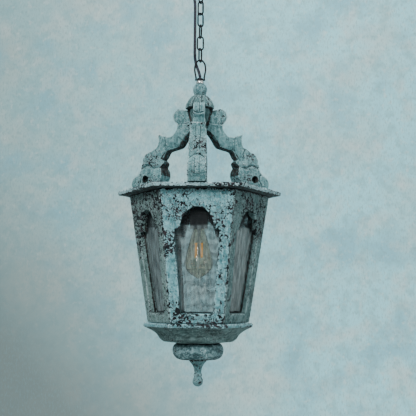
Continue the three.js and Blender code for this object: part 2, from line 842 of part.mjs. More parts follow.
// A small turned pull on the door's free stile.
function makePull() {
  const profile = [
    [0, seatGap],
    [pullNeck + 1.6, seatGap],
    [pullNeck, pullLength * 0.3],
    [pullRadius - 1, pullLength * 0.55],
    [pullRadius, pullLength * 0.72],
    [pullRadius - 1.6, pullLength * 0.95],
    [0, pullLength],
  ];
  const down = slopeLength / 2;
  const across = bodyTopRadius / 2 - narrowing * down - windowStile / 2;
  const pull = turned(profile, 16).rotateX(Math.PI / 2);
  return onFrontFace(pull.translate(-across, 0, -down));
}

piece('door_pull', makePull(), paintedWood, lantern).rotation.z = Math.PI;

// ---------------------------------------------------------------- base

const trayTop = -bodyHeight;
const trayUnderside = trayTop - trayHeight;
const trayFloor = trayTop - trayRecessDepth;
const discTop = trayUnderside - seatGap;
const discUnderside = discTop - discHeight;
const finialTop = discUnderside - seatGap;
const finialTip = finialTop - finialHeight;
const rodHole = rodRadius + threadGap;

function makeTray() {
  const cove = new THREE.CubicBezierCurve(
    new THREE.Vector2(trayRadius - 6, trayTop - trayEdge - 1.5),
    new THREE.Vector2(trayRadius - 22, trayTop - trayEdge - 9),
    new THREE.Vector2(trayRadius - 32, trayUnderside + 19),
    new THREE.Vector2(trayRadius - 35, trayUnderside + 9),
  );
  const profile = [
    [rodHole, trayFloor],
    [trayRecessRadius, trayFloor],
    [bodyBottomRadius - panelThickness, trayTop],
    [trayRadius - 2, trayTop],
    [trayRadius, trayTop - 2],
    [trayRadius, trayTop - trayEdge + 1.5],
    [trayRadius - 1.5, trayTop - trayEdge],
    ...cove.getPoints(5).map((p) => [p.x, p.y]),
    [trayRadius - 45, trayUnderside + 2],
    [trayFootRadius, trayUnderside],
    [rodHole, trayUnderside],
    [rodHole, trayFloor],
  ];
  const square = solid(sixSided(profile.map(([r, z]) => [r === rodHole ? 0 : r, z])));
  return geometryOf(square.subtract(solid(rod(rodHole, trayUnderside - 1, trayFloor + 1, 16))));
}

function makeDisc() {
  const profile = [
    [rodHole, discTop],
    [discTopRadius, discTop],
    [discRadius - 2.5, discTop - discHeight * 0.16],
    [discRadius, discTop - discHeight * 0.4],
    [discRadius - 1, discTop - discHeight * 0.62],
    [discRadius - 5, discTop - discHeight * 0.84],
    [discBottomRadius, discUnderside],
    [rodHole, discUnderside],
    [rodHole, discTop],
  ];
  return turned(profile, 36);
}

function makeFinial() {
  const ballMiddle = finialTip + 12;
  const profile = [
    [rodHole, finialTop],
    [finialTopRadius, finialTop],
    [finialTopRadius - 2, finialTop - 5],
    [finialNeckRadius + 4, finialTop - 13],
    [finialNeckRadius + 1, finialTop - 19],
    [finialNeckRadius, finialTop - 28],
    [finialNeckRadius + 2, finialTop - 32],
    [finialNeckRadius + 1.6, finialTop - 35],
    [finialNeckRadius, finialTop - 37],
  ];
  for (const angle of [50, 25, 0, -25, -50, -72]) {
    const r = finialBallRadius * Math.cos(degrees(angle));
    profile.push([r, ballMiddle + 12 * Math.sin(degrees(angle))]);
  }
  profile.push([0, finialTip], [0, finialTop - rodInFinial - 1]);
  profile.push([rodHole, finialTop - rodInFinial - 1], [rodHole, finialTop]);
  return turned(profile, 24);
}

const rodTop = trayFloor + seatGap + rodNutHeight + 2;
piece('base_tray', makeTray(), agedPaint, lantern);
piece('base_disc', makeDisc(), paintedWood, lantern);
piece('bottom_finial', makeFinial(), paintedWood, lantern);
piece('finial_rod', rod(rodRadius, finialTop - rodInFinial, rodTop, 16), zincSteel, lantern);
piece(
  'rod_nut',
  hexNut(rodNutRadius, rodHole, trayFloor + seatGap, trayFloor + seatGap + rodNutHeight),
  zincSteel,
  lantern,
);

// ---------------------------------------------------------------- lampholder

const holderSeam = holderTop - holderCapHeight;
const insulatorTop = holderSeam - seatGap;
const socketFloor = insulatorTop - insulatorFloor;
const bulbTop = socketFloor - seatGap;

function makeHolderCap() {
  const inner = holderRadius - holderWall;
  const profile = [
    [tubeHole, holderTop],
    [tubeHole + 3.4, holderTop],
    [tubeHole + 3.4, holderTop - holderCapHeight * 0.4],
    [holderRadius - 4, holderTop - holderCapHeight * 0.56],
    [holderRadius, holderTop - holderCapHeight * 0.8],
    [holderRadius, holderSeam],
    [inner, holderSeam],
    [inner, holderTop - holderCapHeight * 0.86],
    [inner - 4, holderTop - holderCapHeight * 0.64],
    [tubeHole, holderTop - holderCapHeight * 0.52],
    [tubeHole, holderTop],
  ];
  return turned(profile, 28);
}

function makeHolderShell() {
  const high = holderSeam - seatGap;
  const low = high - holderShellHeight;
  const inner = holderRadius - holderWall;
  const profile = [
    [inner, high],
    [holderRadius, high],
    [holderRadius, low + 3],
    [holderRadius - 1, low],
    [inner - 2, low],
    [inner, low + 3],
    [inner, high],
  ];
  return turned(profile, 28);
}

// The socket that the bulb's cap is screwed into, with the two wire ways in its floor.
function makeInsulator() {
  const bore = bulbCapRadius + threadGap;
  const insulatorRadius = holderRadius - holderWall - seatGap;
  const profile = [
    [0, insulatorTop],
    [insulatorRadius, insulatorTop],
    [insulatorRadius, insulatorTop - insulatorDepth],
    [bore, insulatorTop - insulatorDepth],
    [bore, socketFloor],
    [0, socketFloor],
  ];
  return turned(profile, 24);
}

piece('lampholder_cap', makeHolderCap(), bakelite, lantern);
piece('lampholder_shell', makeHolderShell(), bakelite, lantern);
piece('lampholder_socket', makeInsulator(), bakelite, lantern);

// ---------------------------------------------------------------- bulb

const bulbTip = bulbTop - bulbLength;
const capLow = bulbTop - bulbCapHeight;

function makeBulbCap() {
  const inner = bulbNeckRadius + seatGap / 2;
  const profile = [
    [0, bulbTop],
    [bulbContact, bulbTop],
    [bulbContact + 2, bulbTop - 3],
    [bulbCapRadius, bulbTop - 5],
    [bulbCapRadius, capLow],
    [inner, capLow],
    [inner, bulbTop - 8],
    [0, bulbTop - 8],
  ];
  return turned(profile, 24);
}

// The pear-shaped outline from the neck to the tip, moved in by the wall for the inside.
function glassOutline(inset) {
  const neckTop = bulbTop - 8.6;
  const side = new THREE.CubicBezierCurve(
    new THREE.Vector2(bulbNeckRadius, capLow),
    new THREE.Vector2(bulbNeckRadius + 3, capLow - 22),
    new THREE.Vector2(bulbRadius, capLow - 36),
    new THREE.Vector2(bulbRadius, bulbTip + 37),
  );
  const nose = new THREE.CubicBezierCurve(
    new THREE.Vector2(bulbRadius, bulbTip + 37),
    new THREE.Vector2(bulbRadius, bulbTip + 20),
    new THREE.Vector2(bulbRadius * 0.45, bulbTip + 7),
    new THREE.Vector2(0, bulbTip),
  );
  const points = [new THREE.Vector2(bulbNeckRadius, neckTop)];
  points.push(...side.getPoints(5));
  points.push(...nose.getPoints(4).slice(1));
  return points.map((p) => {
    if (p.x === 0) return [0, p.y + inset];
    const shrink = p.y > bulbTip + 37 ? 0 : (inset * (bulbTip + 37 - p.y)) / 37;
    return [p.x - inset, p.y + shrink];
  });
}

function makeBulbGlass() {
  const outer = glassOutline(0);
  const inner = glassOutline(bulbWall).reverse();
  return turned([...outer, ...inner, outer[0]], 20);
}

// A glass stem with a small spider that holds four upright filaments.
function makeFilament() {
  const stemTop = bulbTop - 8 - seatGap;
  const high = bulbTop - 60;
  const low = high - filamentLength;
  let body = solid(turned([
    [0, stemTop],
    [bulbNeckRadius - bulbWall - 1, stemTop],
    [4, stemTop - 22],
    [2, high - 8],
    [1.2, low + 1],
    [0, low],
  ], 10));
  for (let i = 0; i < 4; i += 1) {
    const angle = (i * Math.PI) / 2 + Math.PI / 5;
    const strip = rod(filamentRadius, low, high, 6).translate(filamentSpread, 0, 0);
    body = body.add(solid(strip.rotateZ(angle)));
    for (const z of [low + 2, high - 2]) {
      const spoke = new THREE.BoxGeometry(filamentSpread, 0.8, 0.8);
      spoke.translate(filamentSpread / 2, 0, z);
      body = body.add(solid(spoke.rotateZ(angle)));
    }
  }
  return geometryOf(body);
}

piece('bulb_cap', makeBulbCap(), nickel, lantern);
piece('bulb_glass', makeBulbGlass(), smokedGlass, lantern);
piece('bulb_filament', makeFilament(), filamentGlow, lantern);

// ---------------------------------------------------------------- cable

// The twin cable's route, from the terminals to the lampholder: down through the grip,
// beside the chain, behind the top of the bail, and down the middle of the tube.
function cableRoute() {
  const out = canopyUnderside - seatGap - gripLength;
  const bailTop = bailPinZ + bailHeight;
  const head = bailPinZ + headHeight / 2;
  const beside = cableOffset;
  const behind = 1.45 * cableThickness; // the bail, where the cable goes in under it
  // a height beside the chain, from the canopy's grip down to the bail
  const down = (share) => out + share * (bailTop - out);
  const points = [
    [-gripOffset, 0, barUnderside - terminalHeight - 2 * seatGap],
    [-gripOffset, 0, out + gripLength / 2],
    [-gripOffset, 0, out - gripLength / 4],
    [-gripOffset * 0.875, 0, down(0.088)],
    [-beside * 1.159, 0, down(0.198)],
    [-beside, 0, down(0.308)],
    [-beside, 0, down(0.473)],
    [-beside, 0, down(0.638)],
    [-beside, 0, down(0.803)],
    [-beside, 0.29 * behind, bailTop + 0.303 * bailHeight],
    [-beside * 0.921, behind, bailTop + 0.043 * bailHeight],
    [-beside * 0.73, 0.96 * behind, bailTop - 0.217 * bailHeight],
    [-beside * 0.397, 0.5 * behind, bailTop - 0.476 * bailHeight],
    [-beside * 0.127, 0.115 * behind, head + 1.47 * headHeight],
    [0, 0, head + 0.44 * headHeight],
    [0, 0, head - 1.18 * headHeight],
    [0, 0, roofZ + hubTop - 60],
    [0, 0, roofZ + 60],
    [0, 0, roofZ + tubeBottom],
    [0, 0, roofZ + insulatorTop + seatGap],
  ];
  return new THREE.CatmullRomCurve3(
    points.map(([x, y, z]) => new THREE.Vector3(x, y, z)),
    false,
    'centripetal',
  );
}

// Two cores side by side: a flat section with rounded edges.
function makeCable() {
  const section = new THREE.Shape();
  const [half, flat] = [cableThickness / 2, cableWidth / 2];
  const edge = flat - half * 0.6;
  section.moveTo(half, edge);
  section.lineTo(half * 0.5, flat);
  section.lineTo(-half * 0.5, flat);
  section.lineTo(-half, edge);
  section.lineTo(-half, -edge);
  section.lineTo(-half * 0.5, -flat);
  section.lineTo(half * 0.5, -flat);
  section.lineTo(half, -edge);
  section.closePath();
  return new THREE.ExtrudeGeometry(section, {
    steps: 44,
    extrudePath: cableRoute(),
    bevelEnabled: false,
  });
}

piece('twin_cable', makeCable(), blackFlex, object);

export default object;
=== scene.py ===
import functools
import json
import math
import bmesh
import bpy
import numpy as np
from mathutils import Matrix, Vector


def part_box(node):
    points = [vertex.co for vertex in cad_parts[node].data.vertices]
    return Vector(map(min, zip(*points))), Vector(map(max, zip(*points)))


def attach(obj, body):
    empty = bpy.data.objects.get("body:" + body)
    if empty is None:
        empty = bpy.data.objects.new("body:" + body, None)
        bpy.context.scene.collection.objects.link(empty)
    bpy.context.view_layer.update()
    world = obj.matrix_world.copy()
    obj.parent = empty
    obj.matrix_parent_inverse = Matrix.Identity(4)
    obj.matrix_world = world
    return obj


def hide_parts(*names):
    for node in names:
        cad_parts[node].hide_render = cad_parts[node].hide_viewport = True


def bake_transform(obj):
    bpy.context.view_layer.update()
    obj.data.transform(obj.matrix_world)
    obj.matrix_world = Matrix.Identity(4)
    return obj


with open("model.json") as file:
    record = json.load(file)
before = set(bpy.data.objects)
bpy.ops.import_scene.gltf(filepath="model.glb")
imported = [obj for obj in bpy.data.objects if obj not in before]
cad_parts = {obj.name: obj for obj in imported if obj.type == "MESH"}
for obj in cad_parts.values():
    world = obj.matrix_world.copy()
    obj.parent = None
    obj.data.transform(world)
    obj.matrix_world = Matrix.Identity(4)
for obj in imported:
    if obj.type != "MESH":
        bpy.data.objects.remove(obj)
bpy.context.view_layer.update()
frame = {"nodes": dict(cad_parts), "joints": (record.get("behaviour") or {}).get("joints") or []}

# ---------------------------------------------------------------- camera
# A short telephoto view from a little below the middle of the lantern, almost square
# on to its front panel.
bpy.ops.object.camera_add(
    location=(0.06013, -1.82711, -0.77571),
    rotation=[math.radians(angle) for angle in (96.4066, -0.3718, 1.2131)])
camera = bpy.context.object
camera.data.sensor_width = 36
camera.data.lens = 70.522
bpy.context.scene.camera = camera


# ---------------------------------------------------------------- backdrop, floor and light
# A lime-washed wall, mottled pale blue and grey, and a pale floor. One large soft lamp
# stands in front of the lantern, above and to the left, with a weak one on the right, and
# two light the wall.
def linear(colour):
    """An sRGB hex colour, such as "8fb8b8", as linear red, green, blue and alpha."""
    parts = [int(colour[i : i + 2], 16) / 255 for i in (0, 2, 4)]
    return [c / 12.92 if c <= 0.04045 else ((c + 0.055) / 1.055) ** 2.4 for c in parts] + [1]


def plug(target, links):
    """Gives each input of a node, by name or number, a socket, a value or a colour."""
    for key, value in links.items():
        if isinstance(value, bpy.types.NodeSocket):
            target.id_data.links.new(value, target.inputs[key])
        else:
            value = linear(value) if isinstance(value, str) else value
            target.inputs[key].default_value = value


def node(tree, kind, links={}, gives=None, **settings):
    """Adds a node with its settings and links. Hands back the output called gives, or
    else the first one that is in use."""
    made = tree.nodes.new("ShaderNode" + kind)
    for key, value in settings.items():
        setattr(made, key, value)
    plug(made, links)
    return made.outputs[gives] if gives else next(out for out in made.outputs if out.enabled)


def new_material(name):
    """A new material: what adds a node to it, its Principled shader and the Object
    coordinates."""
    made = bpy.data.materials.new(name)
    made.use_nodes = True
    add = functools.partial(node, made.node_tree)
    return made, add, made.node_tree.nodes["Principled BSDF"], add("TexCoord", gives="Object")


def limewash(name, left, right, cloudy=1.0):
    """Lime wash brushed on plaster: chalky and clouded, with a fine upright brush grain."""
    made, add, shader, place = new_material(name)
    across = add("SeparateXYZ", {0: place})
    ground = add("MapRange", {0: across, 1: -1.0, 2: 0.7})
    ground = add("Mix", {0: ground, 6: left, 7: right}, data_type="RGBA")
    for scale, low, high, most, tint in ((2.1, 0.45, 0.66, 0.65, "b6c6c1"),
                                         (3.7, 0.48, 0.64, 0.8, "86bcc9"),
                                         (8.0, 0.5, 0.7, 0.6, "c4d4d1"),
                                         (19.0, 0.48, 0.66, 0.5, "86b5bb"),
                                         (33.0, 0.56, 0.76, 0.55, "cfdedd")):
        cloud = add("Mapping", {"Vector": place, "Location": (scale, 0, -scale)})
        cloud = add("TexNoise", {"Vector": cloud, "Scale": scale, "Detail": 5.0})
        cloud = add("MapRange", {0: cloud, 1: low, 2: high, 4: most * cloudy})
        ground = add("Mix", {0: cloud, 6: ground, 7: tint}, data_type="RGBA")
    # darker and greyer low down on the left
    corner = add("VectorMath", {0: place, 1: (1, 0, 1)}, operation="DOT_PRODUCT")
    corner = add("MapRange", {0: corner, 1: -1.15, 2: -2.2, 4: 0.92 * cloudy})
    ground = add("Mix", {0: corner, 6: ground, 7: "7f8d8c"}, data_type="RGBA")
    # brush marks, about 8 mm wide and 20 mm long
    upright = add("Mapping", {"Vector": place, "Scale": (1, 1, 0.4)})
    brush = add("TexNoise", {"Vector": upright, "Scale": 120.0, "Detail": 3.0})
    brush = add("MapRange", {0: brush, 1: 0.5, 2: 0.72, 4: 0.6 * cloudy})
    ground = add("Mix", {0: brush, 6: ground, 7: "86a5aa"}, data_type="RGBA")
    plug(shader, {"Base Color": ground, "Roughness": 0.9, "Specular IOR Level": 0.0})
    return made


def where_seen(tree):
    """1 where something is looked at, straight, in a mirror or through glass, and 0
    where it only gives light."""
    seen = 0
    for ray in ("Is Camera Ray", "Is Glossy Ray", "Is Transmission Ray"):
        ray = node(tree, "LightPath", gives=ray)
        seen = node(tree, "Math", {0: seen, 1: ray}, operation="MAXIMUM")
    return seen


def pick(*pieces):
    """Leaves edit mode, and selects these pieces and nothing else."""
    if bpy.context.object and bpy.context.object.mode != "OBJECT":
        bpy.ops.object.mode_set(mode="OBJECT")
    bpy.ops.object.select_all(action="DESELECT")
    for piece in pieces:
        piece.select_set(True)
    if pieces:
        bpy.context.view_layer.objects.active = pieces[0]


pick()
bpy.ops.mesh.primitive_plane_add(size=9, location=(0, 2.7, -1.0),
                                 rotation=(math.radians(90), 0, 0))
wall = bpy.context.object
wall.name = "backdrop"
wall.data.materials.append(limewash("limewash_wall", "9fc6c9", "a0dde6"))
bpy.ops.object.transform_apply()
pick()
bpy.ops.mesh.primitive_plane_add(size=9, location=(0, 0, -2.45))
floor = bpy.context.object
floor.name = "floor"
pale_floor = limewash("limewash_floor", "ccd4d3", "d3dbda", 0.25)
floor.data.materials.append(pale_floor)
bpy.ops.object.transform_apply()
# the floor lies far below the lamps, so it is lifted a little where it is seen
tree = pale_floor.node_tree
plug(tree.nodes["Principled BSDF"], {
    "Emission Color": "ccd4d3",
    "Emission Strength": node(tree, "MapRange", {0: where_seen(tree), 4: 0.4})})


def lamp(name, place, aim, size, power):
    """A square softbox at place, turned towards aim."""
    bpy.ops.object.light_add(type="AREA", location=place)
    made = bpy.context.object
    made.name = name
    made.data.size = size
    made.data.energy = power
    made.rotation_euler = (Vector(aim) - Vector(place)).to_track_quat("-Z", "Y").to_euler()


lamp("key_light", (-0.8, -2.5, 0.8), (0, 0, -0.7), 0.9, 74)
lamp("fill_light", (2.2, -1.6, -0.3), (0, 0, -0.7), 1.5, 17)
lamp("wall_light", (0.4, 0.6, 1.6), (0.4, 2.7, -1.0), 2.5, 72)
lamp("low_wall_light", (1.0, 0.9, -2.2), (0.6, 2.7, -1.1), 1.8, 38)
world = bpy.data.worlds.new("room")
bpy.context.scene.world = world
world.use_nodes = True
# the room lights gently, and looks pale where it is seen
tree = world.node_tree
plug(tree.nodes["Background"], {
    "Color": "c3d0d2",
    "Strength": node(tree, "MapRange", {0: where_seen(tree), 3: 0.36, 4: 0.95})})


# ---------------------------------------------------------------- ceiling bar, canopy and hook
# A zinc-plated bar screws to the ceiling. A spun steel canopy, blacked and waxed, hides it
# and is held up by a nut on the forged hook, whose closed eye carries the chain.
mm = 0.001


def start(name, place, add, **settings):
    """Adds a primitive with everything else deselected, and opens it in edit mode."""
    pick()
    add(location=place, **settings)
    piece = bpy.context.object
    piece.name = piece.data.name = name
    bpy.ops.object.mode_set(mode="EDIT")
    return piece


def coat(piece, material):
    """Gives the whole piece one material."""
    piece.data.materials.clear()
    piece.data.materials.append(material)


def finish(piece, material, body, stands_for, angle=35):
    """Fixes the place in the mesh, gives the piece its shading and its material, hangs it on
    its body, and hides the CAD node that it stands for."""
    pick(piece)
    bpy.ops.object.transform_apply()
    if angle is None:
        bpy.ops.object.shade_smooth()
    else:
        bpy.ops.object.shade_smooth_by_angle(angle=math.radians(angle))
    coat(piece, material)
    if body:
        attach(piece, body)
    if stands_for:
        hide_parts(stands_for)


def made_whole(threshold):
    """Merges doubled points, turns every face outwards, and leaves edit mode."""
    bpy.ops.mesh.select_all(action="SELECT")
    bpy.ops.mesh.remove_doubles(threshold=threshold * mm)
    bpy.ops.mesh.normals_make_consistent(inside=False)
    bpy.ops.object.mode_set(mode="OBJECT")


def drawn(name, line, x=0, y=0):
    """A line of (out, up) points in mm, drawn by extruding a single point."""
    r, z = line[0]
    piece = start(name, (x + r * mm, y, z * mm), bpy.ops.mesh.primitive_plane_add, size=mm)
    bpy.ops.mesh.merge(type="CENTER")
    for (r, z), (next_r, next_z) in zip(line, line[1:]):
        step = ((next_r - r) * mm, 0, (next_z - z) * mm)
        bpy.ops.mesh.extrude_region_move(TRANSFORM_OT_translate={"value": step})
    bpy.ops.mesh.select_all(action="SELECT")
    return piece


def turned(name, profile, steps=64, x=0):
    """Lathe work: a profile of (radius, height) in mm, spun about an upright line."""
    piece = drawn(name, profile, x)
    bpy.ops.mesh.spin(steps=steps, angle=2 * math.pi, center=(x, 0, 0), axis=(0, 0, 1))
    made_whole(0.01)
    return piece


def eased(points, steps=4):
    """A smooth line through the points, for a profile or a wire."""
    line = []
    for i in range(len(points) - 1):
        a, b = points[max(i - 1, 0)], points[i]
        c, d = points[i + 1], points[min(i + 2, len(points) - 1)]
        for k in range(steps):
            t = k / steps
            line.append(tuple(
                0.5 * (2 * q + (r - p) * t + (2 * p - 5 * q + 4 * r - s) * t * t
                       + (3 * q - p - 3 * r + s) * t**3)
                for p, q, r, s in zip(a, b, c, d)))
    return line + [tuple(points[-1])]


def mottled(name, scale, detail, colours, clouds, rough, metal=0.0, gloss=0.5, swirl=0.0,
            pits=0.0):
    """A skin that goes from one colour to the other in clouds, its roughness with it.
    scale is how many clouds lie in a metre, and clouds where in the noise they begin and
    are full."""
    made, add, shader, place = new_material(name)
    patch = add("TexNoise", {"Vector": place, "Scale": scale, "Detail": detail,
                             "Distortion": swirl})
    share = add("MapRange", {0: patch, 1: clouds[0], 2: clouds[1]})
    plug(shader, {
        "Base Color": add("Mix", {0: share, 6: colours[0], 7: colours[1]}, data_type="RGBA"),
        "Roughness": add("MapRange", {0: patch, 3: rough[0], 4: rough[1]}),
        "Metallic": metal, "Specular IOR Level": gloss})
    if pits:
        grain = add("TexNoise", {"Vector": place, "Scale": 900.0, "Detail": 2.0})
        plug(shader, {"Normal": add("Bump", {"Height": grain, "Distance": 0.0001,
                                             "Strength": pits})})
    return made


# steel blacked in hot oil: a dark blue-grey skin, pitted, rubbed to grey here and there
black_steel = mottled("blacked_steel", 260.0, 4.0, ("0d1116", "343e46"), (0.6, 0.8),
                      (0.38, 0.62), metal=0.25, gloss=0.25, pits=0.4)
# bright zinc and nickel, with the faint swirl that tumbling leaves in them
zinc = mottled("zinc_plated_steel", 420.0, 3.0, ("878a8a", "a9adad"), (0.3, 0.7),
               (0.32, 0.54), metal=1.0, swirl=1.5)
nickel = mottled("nickel_plated_brass", 420.0, 3.0, ("b0b4b1", "dde1de"), (0.3, 0.7),
                 (0.12, 0.34), metal=1.0, swirl=1.5)
for name in ("ceiling_bar", "tube_locknut", "arm_screw_front", "arm_screw_right",
             "arm_screw_left", "finial_rod", "rod_nut"):
    coat(frame["nodes"][name], zinc)

canopy_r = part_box("canopy")[1].x / mm
rim = eased([(canopy_r - 1.6, 0), (canopy_r, -0.8), (canopy_r, -3), (52.8, -9), (49, -17),
             (43, -25), (35.5, -31.5), (27, -33.9), (18, -34)], 5)
inner = eased([(18, -32.4), (27, -32.3), (34.6, -30), (41.8, -24), (47.6, -16.4),
               (51.2, -8.6), (canopy_r - 1.7, -3)])
canopy = turned("canopy_bowl", rim + [(4.3, -34), (4.3, -32.4)] + inner + [rim[0]], 96)
finish(canopy, black_steel, "ceiling_fitting", "canopy")

# The bush that grips the cable where it leaves the canopy.
low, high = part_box("cord_grip")
grip_x = (low.x + high.x) / 2
grip = turned("cord_bush", eased([(3.95, -46.2), (5.2, -46.3), (5.9, -45), (6.6, -39),
                                  (6.9, -35), (6.9, -34.3)], 3)
              + [(4.9, -34.3), (4.9, -32.2), (6.9, -32), (6.9, -29.2), (3.95, -29.1),
                 (3.95, -46.2)], 40, grip_x)


def modified(piece, kind, **settings):
    """Gives the piece a modifier with its settings, and applies it."""
    pick(piece)
    bpy.ops.object.modifier_add(type=kind)
    for key, value in settings.items():
        setattr(piece.modifiers[-1], key, value)
    bpy.ops.object.modifier_apply(modifier=piece.modifiers[-1].name)


def bored(piece, radius, depth, place, sides=48, turn=(0, 0, 0)):
    """Bores a round hole into the piece, its radius and depth in mm."""
    pick()
    bpy.ops.mesh.primitive_cylinder_add(radius=radius * mm, depth=depth * mm, vertices=sides,
                                        location=place, rotation=turn)
    drill = bpy.context.object
    modified(piece, "BOOLEAN", operation="DIFFERENCE", object=drill)
    bpy.data.objects.remove(drill)


# the hole that the bush sits in
bored(canopy, 5.2, 6, (grip_x, 0, -33.2 * mm))

# moulded phenolic: near black, smooth, with a slight waxy haze and fine dust
black_bakelite = mottled("black_bakelite", 130.0, 3.0, ("17191b", "3d3f40"), (0.5, 0.75),
                         (0.28, 0.5))
finish(grip, black_bakelite, "ceiling_fitting", "cord_grip")

# Terminal block: moulded, with two pairs of screw wells in its underside.
low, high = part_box("terminal_block")
block = start("terminal_strip", (low + high) / 2, bpy.ops.mesh.primitive_cube_add, size=1,
              scale=high - low)
bpy.ops.mesh.bevel(offset=1.2 * mm, segments=3, affect="EDGES")
for y in (-5, 5):
    for x in (-3.6, 3.6):
        bored(block, 1.9, 5, ((low.x + high.x) / 2 + x * mm, y * mm, low.z), 24)
finish(block, black_bakelite, "ceiling_fitting", "terminal_block")


def drawn_curve(name, points, closed=False):
    """A 3-D line through points in mm."""
    line = bpy.data.curves.new(name, "CURVE")
    line.dimensions = "3D"
    line.use_fill_caps = True
    strand = line.splines.new("POLY")
    strand.points.add(len(points) - 1)
    for point, place in zip(strand.points, points):
        point.co = [value * mm for value in place] + [1]
    strand.use_cyclic_u = closed
    piece = bpy.data.objects.new(name, line)
    bpy.context.collection.objects.link(piece)
    return piece


def rounded_bar(name, points, radius, sides, closed=False):
    """Round wire or bar bent along points, its ends closed."""
    bar = drawn_curve(name, points, closed)
    bar.data.bevel_depth = radius * mm
    bar.data.bevel_resolution = sides // 4 - 1
    pick(bar)
    bpy.ops.object.convert(target="MESH")
    bpy.ops.object.mode_set(mode="EDIT")
    made_whole(0.005)
    return bpy.context.object


# The hook: a rod with a cut thread, forged out at its foot into a closed eye.
link_yaws = [66, 0, -70, 32, -32, 58]
hook_turn = math.radians(link_yaws[5] + 90)
stem = [(0, -3.3), (3.6, -3.6)]
for count in range(24):
    top = -4.2 - 1.25 * count
    stem += [(3.55, top), (3.15, top - 0.55), (3.55, top - 1.1)]
stem += [(3.5, -35), (3.5, -41), (3.3, -44.2), (2.4, -47.2), (0, -47.4)]
ring = [(9 * math.cos(a) * math.cos(hook_turn), 9 * math.cos(a) * math.sin(hook_turn),
         -55.8 + 9 * math.sin(a)) for a in np.linspace(0, 2 * math.pi, 64, endpoint=False)]


def joined(name, *parts):
    """Several meshes as one piece."""
    pick(*parts)
    bpy.ops.object.join()
    parts[0].name = parts[0].data.name = name
    return parts[0]


hook = joined("threaded_hook", turned("hook_stem", stem, 32),
              rounded_bar("hook_eye", ring, 2.5, 20, True))
finish(hook, black_steel, "ceiling_fitting", "canopy_hook", 40)


def heights(name):
    """A CAD node's lowest and highest z, in mm."""
    return [corner.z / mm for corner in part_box(name)]


z0, z1 = heights("canopy_nut")
nut = turned("canopy_thumb_nut", [(3.9, z0)] + eased([
    (8, z0), (9.6, z0 + 0.7), (10, z0 + 1.8), (10, z1 - 1.6), (9.7, z1 - 0.4), (9, z1)], 3)
    + [(3.9, z1), (3.9, z0)], 60)
finish(nut, black_steel, "ceiling_fitting", "canopy_nut")


# ---------------------------------------------------------------- chain
# Six welded oval links of 3.5 mm wire, blacked. Each is a ring drawn out into an oval,
# with the small swelling of its weld on one long side.
link = start("chain_oval_1", (0, 0, 0), bpy.ops.mesh.primitive_torus_add,
             major_radius=6.75 * mm, minor_radius=1.75 * mm, major_segments=56,
             minor_segments=16, rotation=(math.radians(90), 0, 0))


def choose(piece, wanted):
    """Selects the points whose places are wanted(place), in edit mode."""
    sheet = bmesh.from_edit_mesh(piece.data)
    for vert in sheet.verts:
        vert.select = wanted(piece.matrix_world @ vert.co)
    sheet.select_flush_mode()
    bmesh.update_edit_mesh(piece.data)


for side in (-1, 1):
    choose(link, lambda place: place.z * side > 0.2 * mm)
    bpy.ops.transform.translate(value=(0, 0, side * 9.15 * mm))
choose(link, lambda place: abs(place.z) < 0.2 * mm and place.x > 0)
bpy.ops.transform.resize(value=(1.14, 1.14, 1), center_override=(6.75 * mm, 0, 0))
bpy.ops.object.mode_set(mode="OBJECT")
bpy.ops.object.transform_apply()


def copy_of(piece, name):
    """A new piece with its own copy of the mesh."""
    made = bpy.data.objects.new(name, piece.data.copy())
    bpy.context.collection.objects.link(made)
    return made


for number, yaw in enumerate(link_yaws, 1):
    low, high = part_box(f"chain_link_{number}")
    one = copy_of(link, f"chain_oval_{number}")
    one.rotation_euler.z = math.radians(yaw)
    one.location = (low + high) / 2
    finish(one, black_steel, f"link_{number}", f"chain_link_{number}")
bpy.data.objects.remove(link)


# ---------------------------------------------------------------- bail, head and collar nut
# An egg-shaped loop of round bar turns on two pins in the black head of the lamp tube.
# A bright round nut below the head clamps the crown.
pin_z = heights("bail_head")[0] + 3.4
side_line = eased([(9.3, -2.2), (9.3, 3), (10.2, 10), (11.6, 17), (12.4, 23), (12.1, 30),
                   (10.4, 37.4), (7, 43), (3.5, 45.6), (0, 46.2)])
loop = [(x, 0, pin_z + z) for x, z in side_line]
loop += [(-x, 0, z) for x, _, z in reversed(loop[:-1])]
bail_parts = [rounded_bar("bail_bar", loop, 1.9, 20)]
for side in (-1, 1):
    pick()
    bpy.ops.mesh.primitive_cylinder_add(
        radius=1.25 * mm, depth=4.6 * mm, vertices=24,
        location=(side * 7.6 * mm, 0, pin_z * mm), rotation=(0, math.radians(90), 0))
    bpy.ops.object.transform_apply()
    bail_parts.append(bpy.context.object)
    pick()
    bpy.ops.mesh.primitive_uv_sphere_add(radius=2.05 * mm, segments=24, ring_count=12,
                                         location=(side * 9.8 * mm, 0, pin_z * mm))
    bpy.ops.object.transform_apply()
    bail_parts.append(bpy.context.object)
bail = joined("bail_bar", *bail_parts)
finish(bail, black_steel, "bail_loop", "bail", 50)

tube_r = 5.3
head = turned("tube_head", [(tube_r, pin_z - 3.4), (6.7, pin_z - 3.4), (7.1, pin_z - 3),
                            (7.1, pin_z + 2.2), (6.8, pin_z + 2.9), (6.1, pin_z + 3.35),
                            (3.7, pin_z + 3.4), (3.6, pin_z + 3.3), (3.6, pin_z + 1.6),
                            (tube_r, pin_z + 1.6), (tube_r, pin_z - 3.4)], 48)
finish(head, black_steel, "lantern", "bail_head")
z0, z1 = heights("collar_nut")
collar = turned("round_collar_nut", [(tube_r, z0), (7.6, z0), (8.4, z0 + 0.3), (8.6, z0 + 0.9),
                                     (8.6, z0 + 2.7), (8.25, z0 + 3.1), (8.6, z0 + 3.5),
                                     (8.6, z1 - 0.9), (8.3, z1 - 0.3), (7.6, z1), (tube_r, z1),
                                     (tube_r, z0)], 64)
finish(collar, nickel, "lantern", "collar_nut")
z0, z1 = heights("hanger_tube")
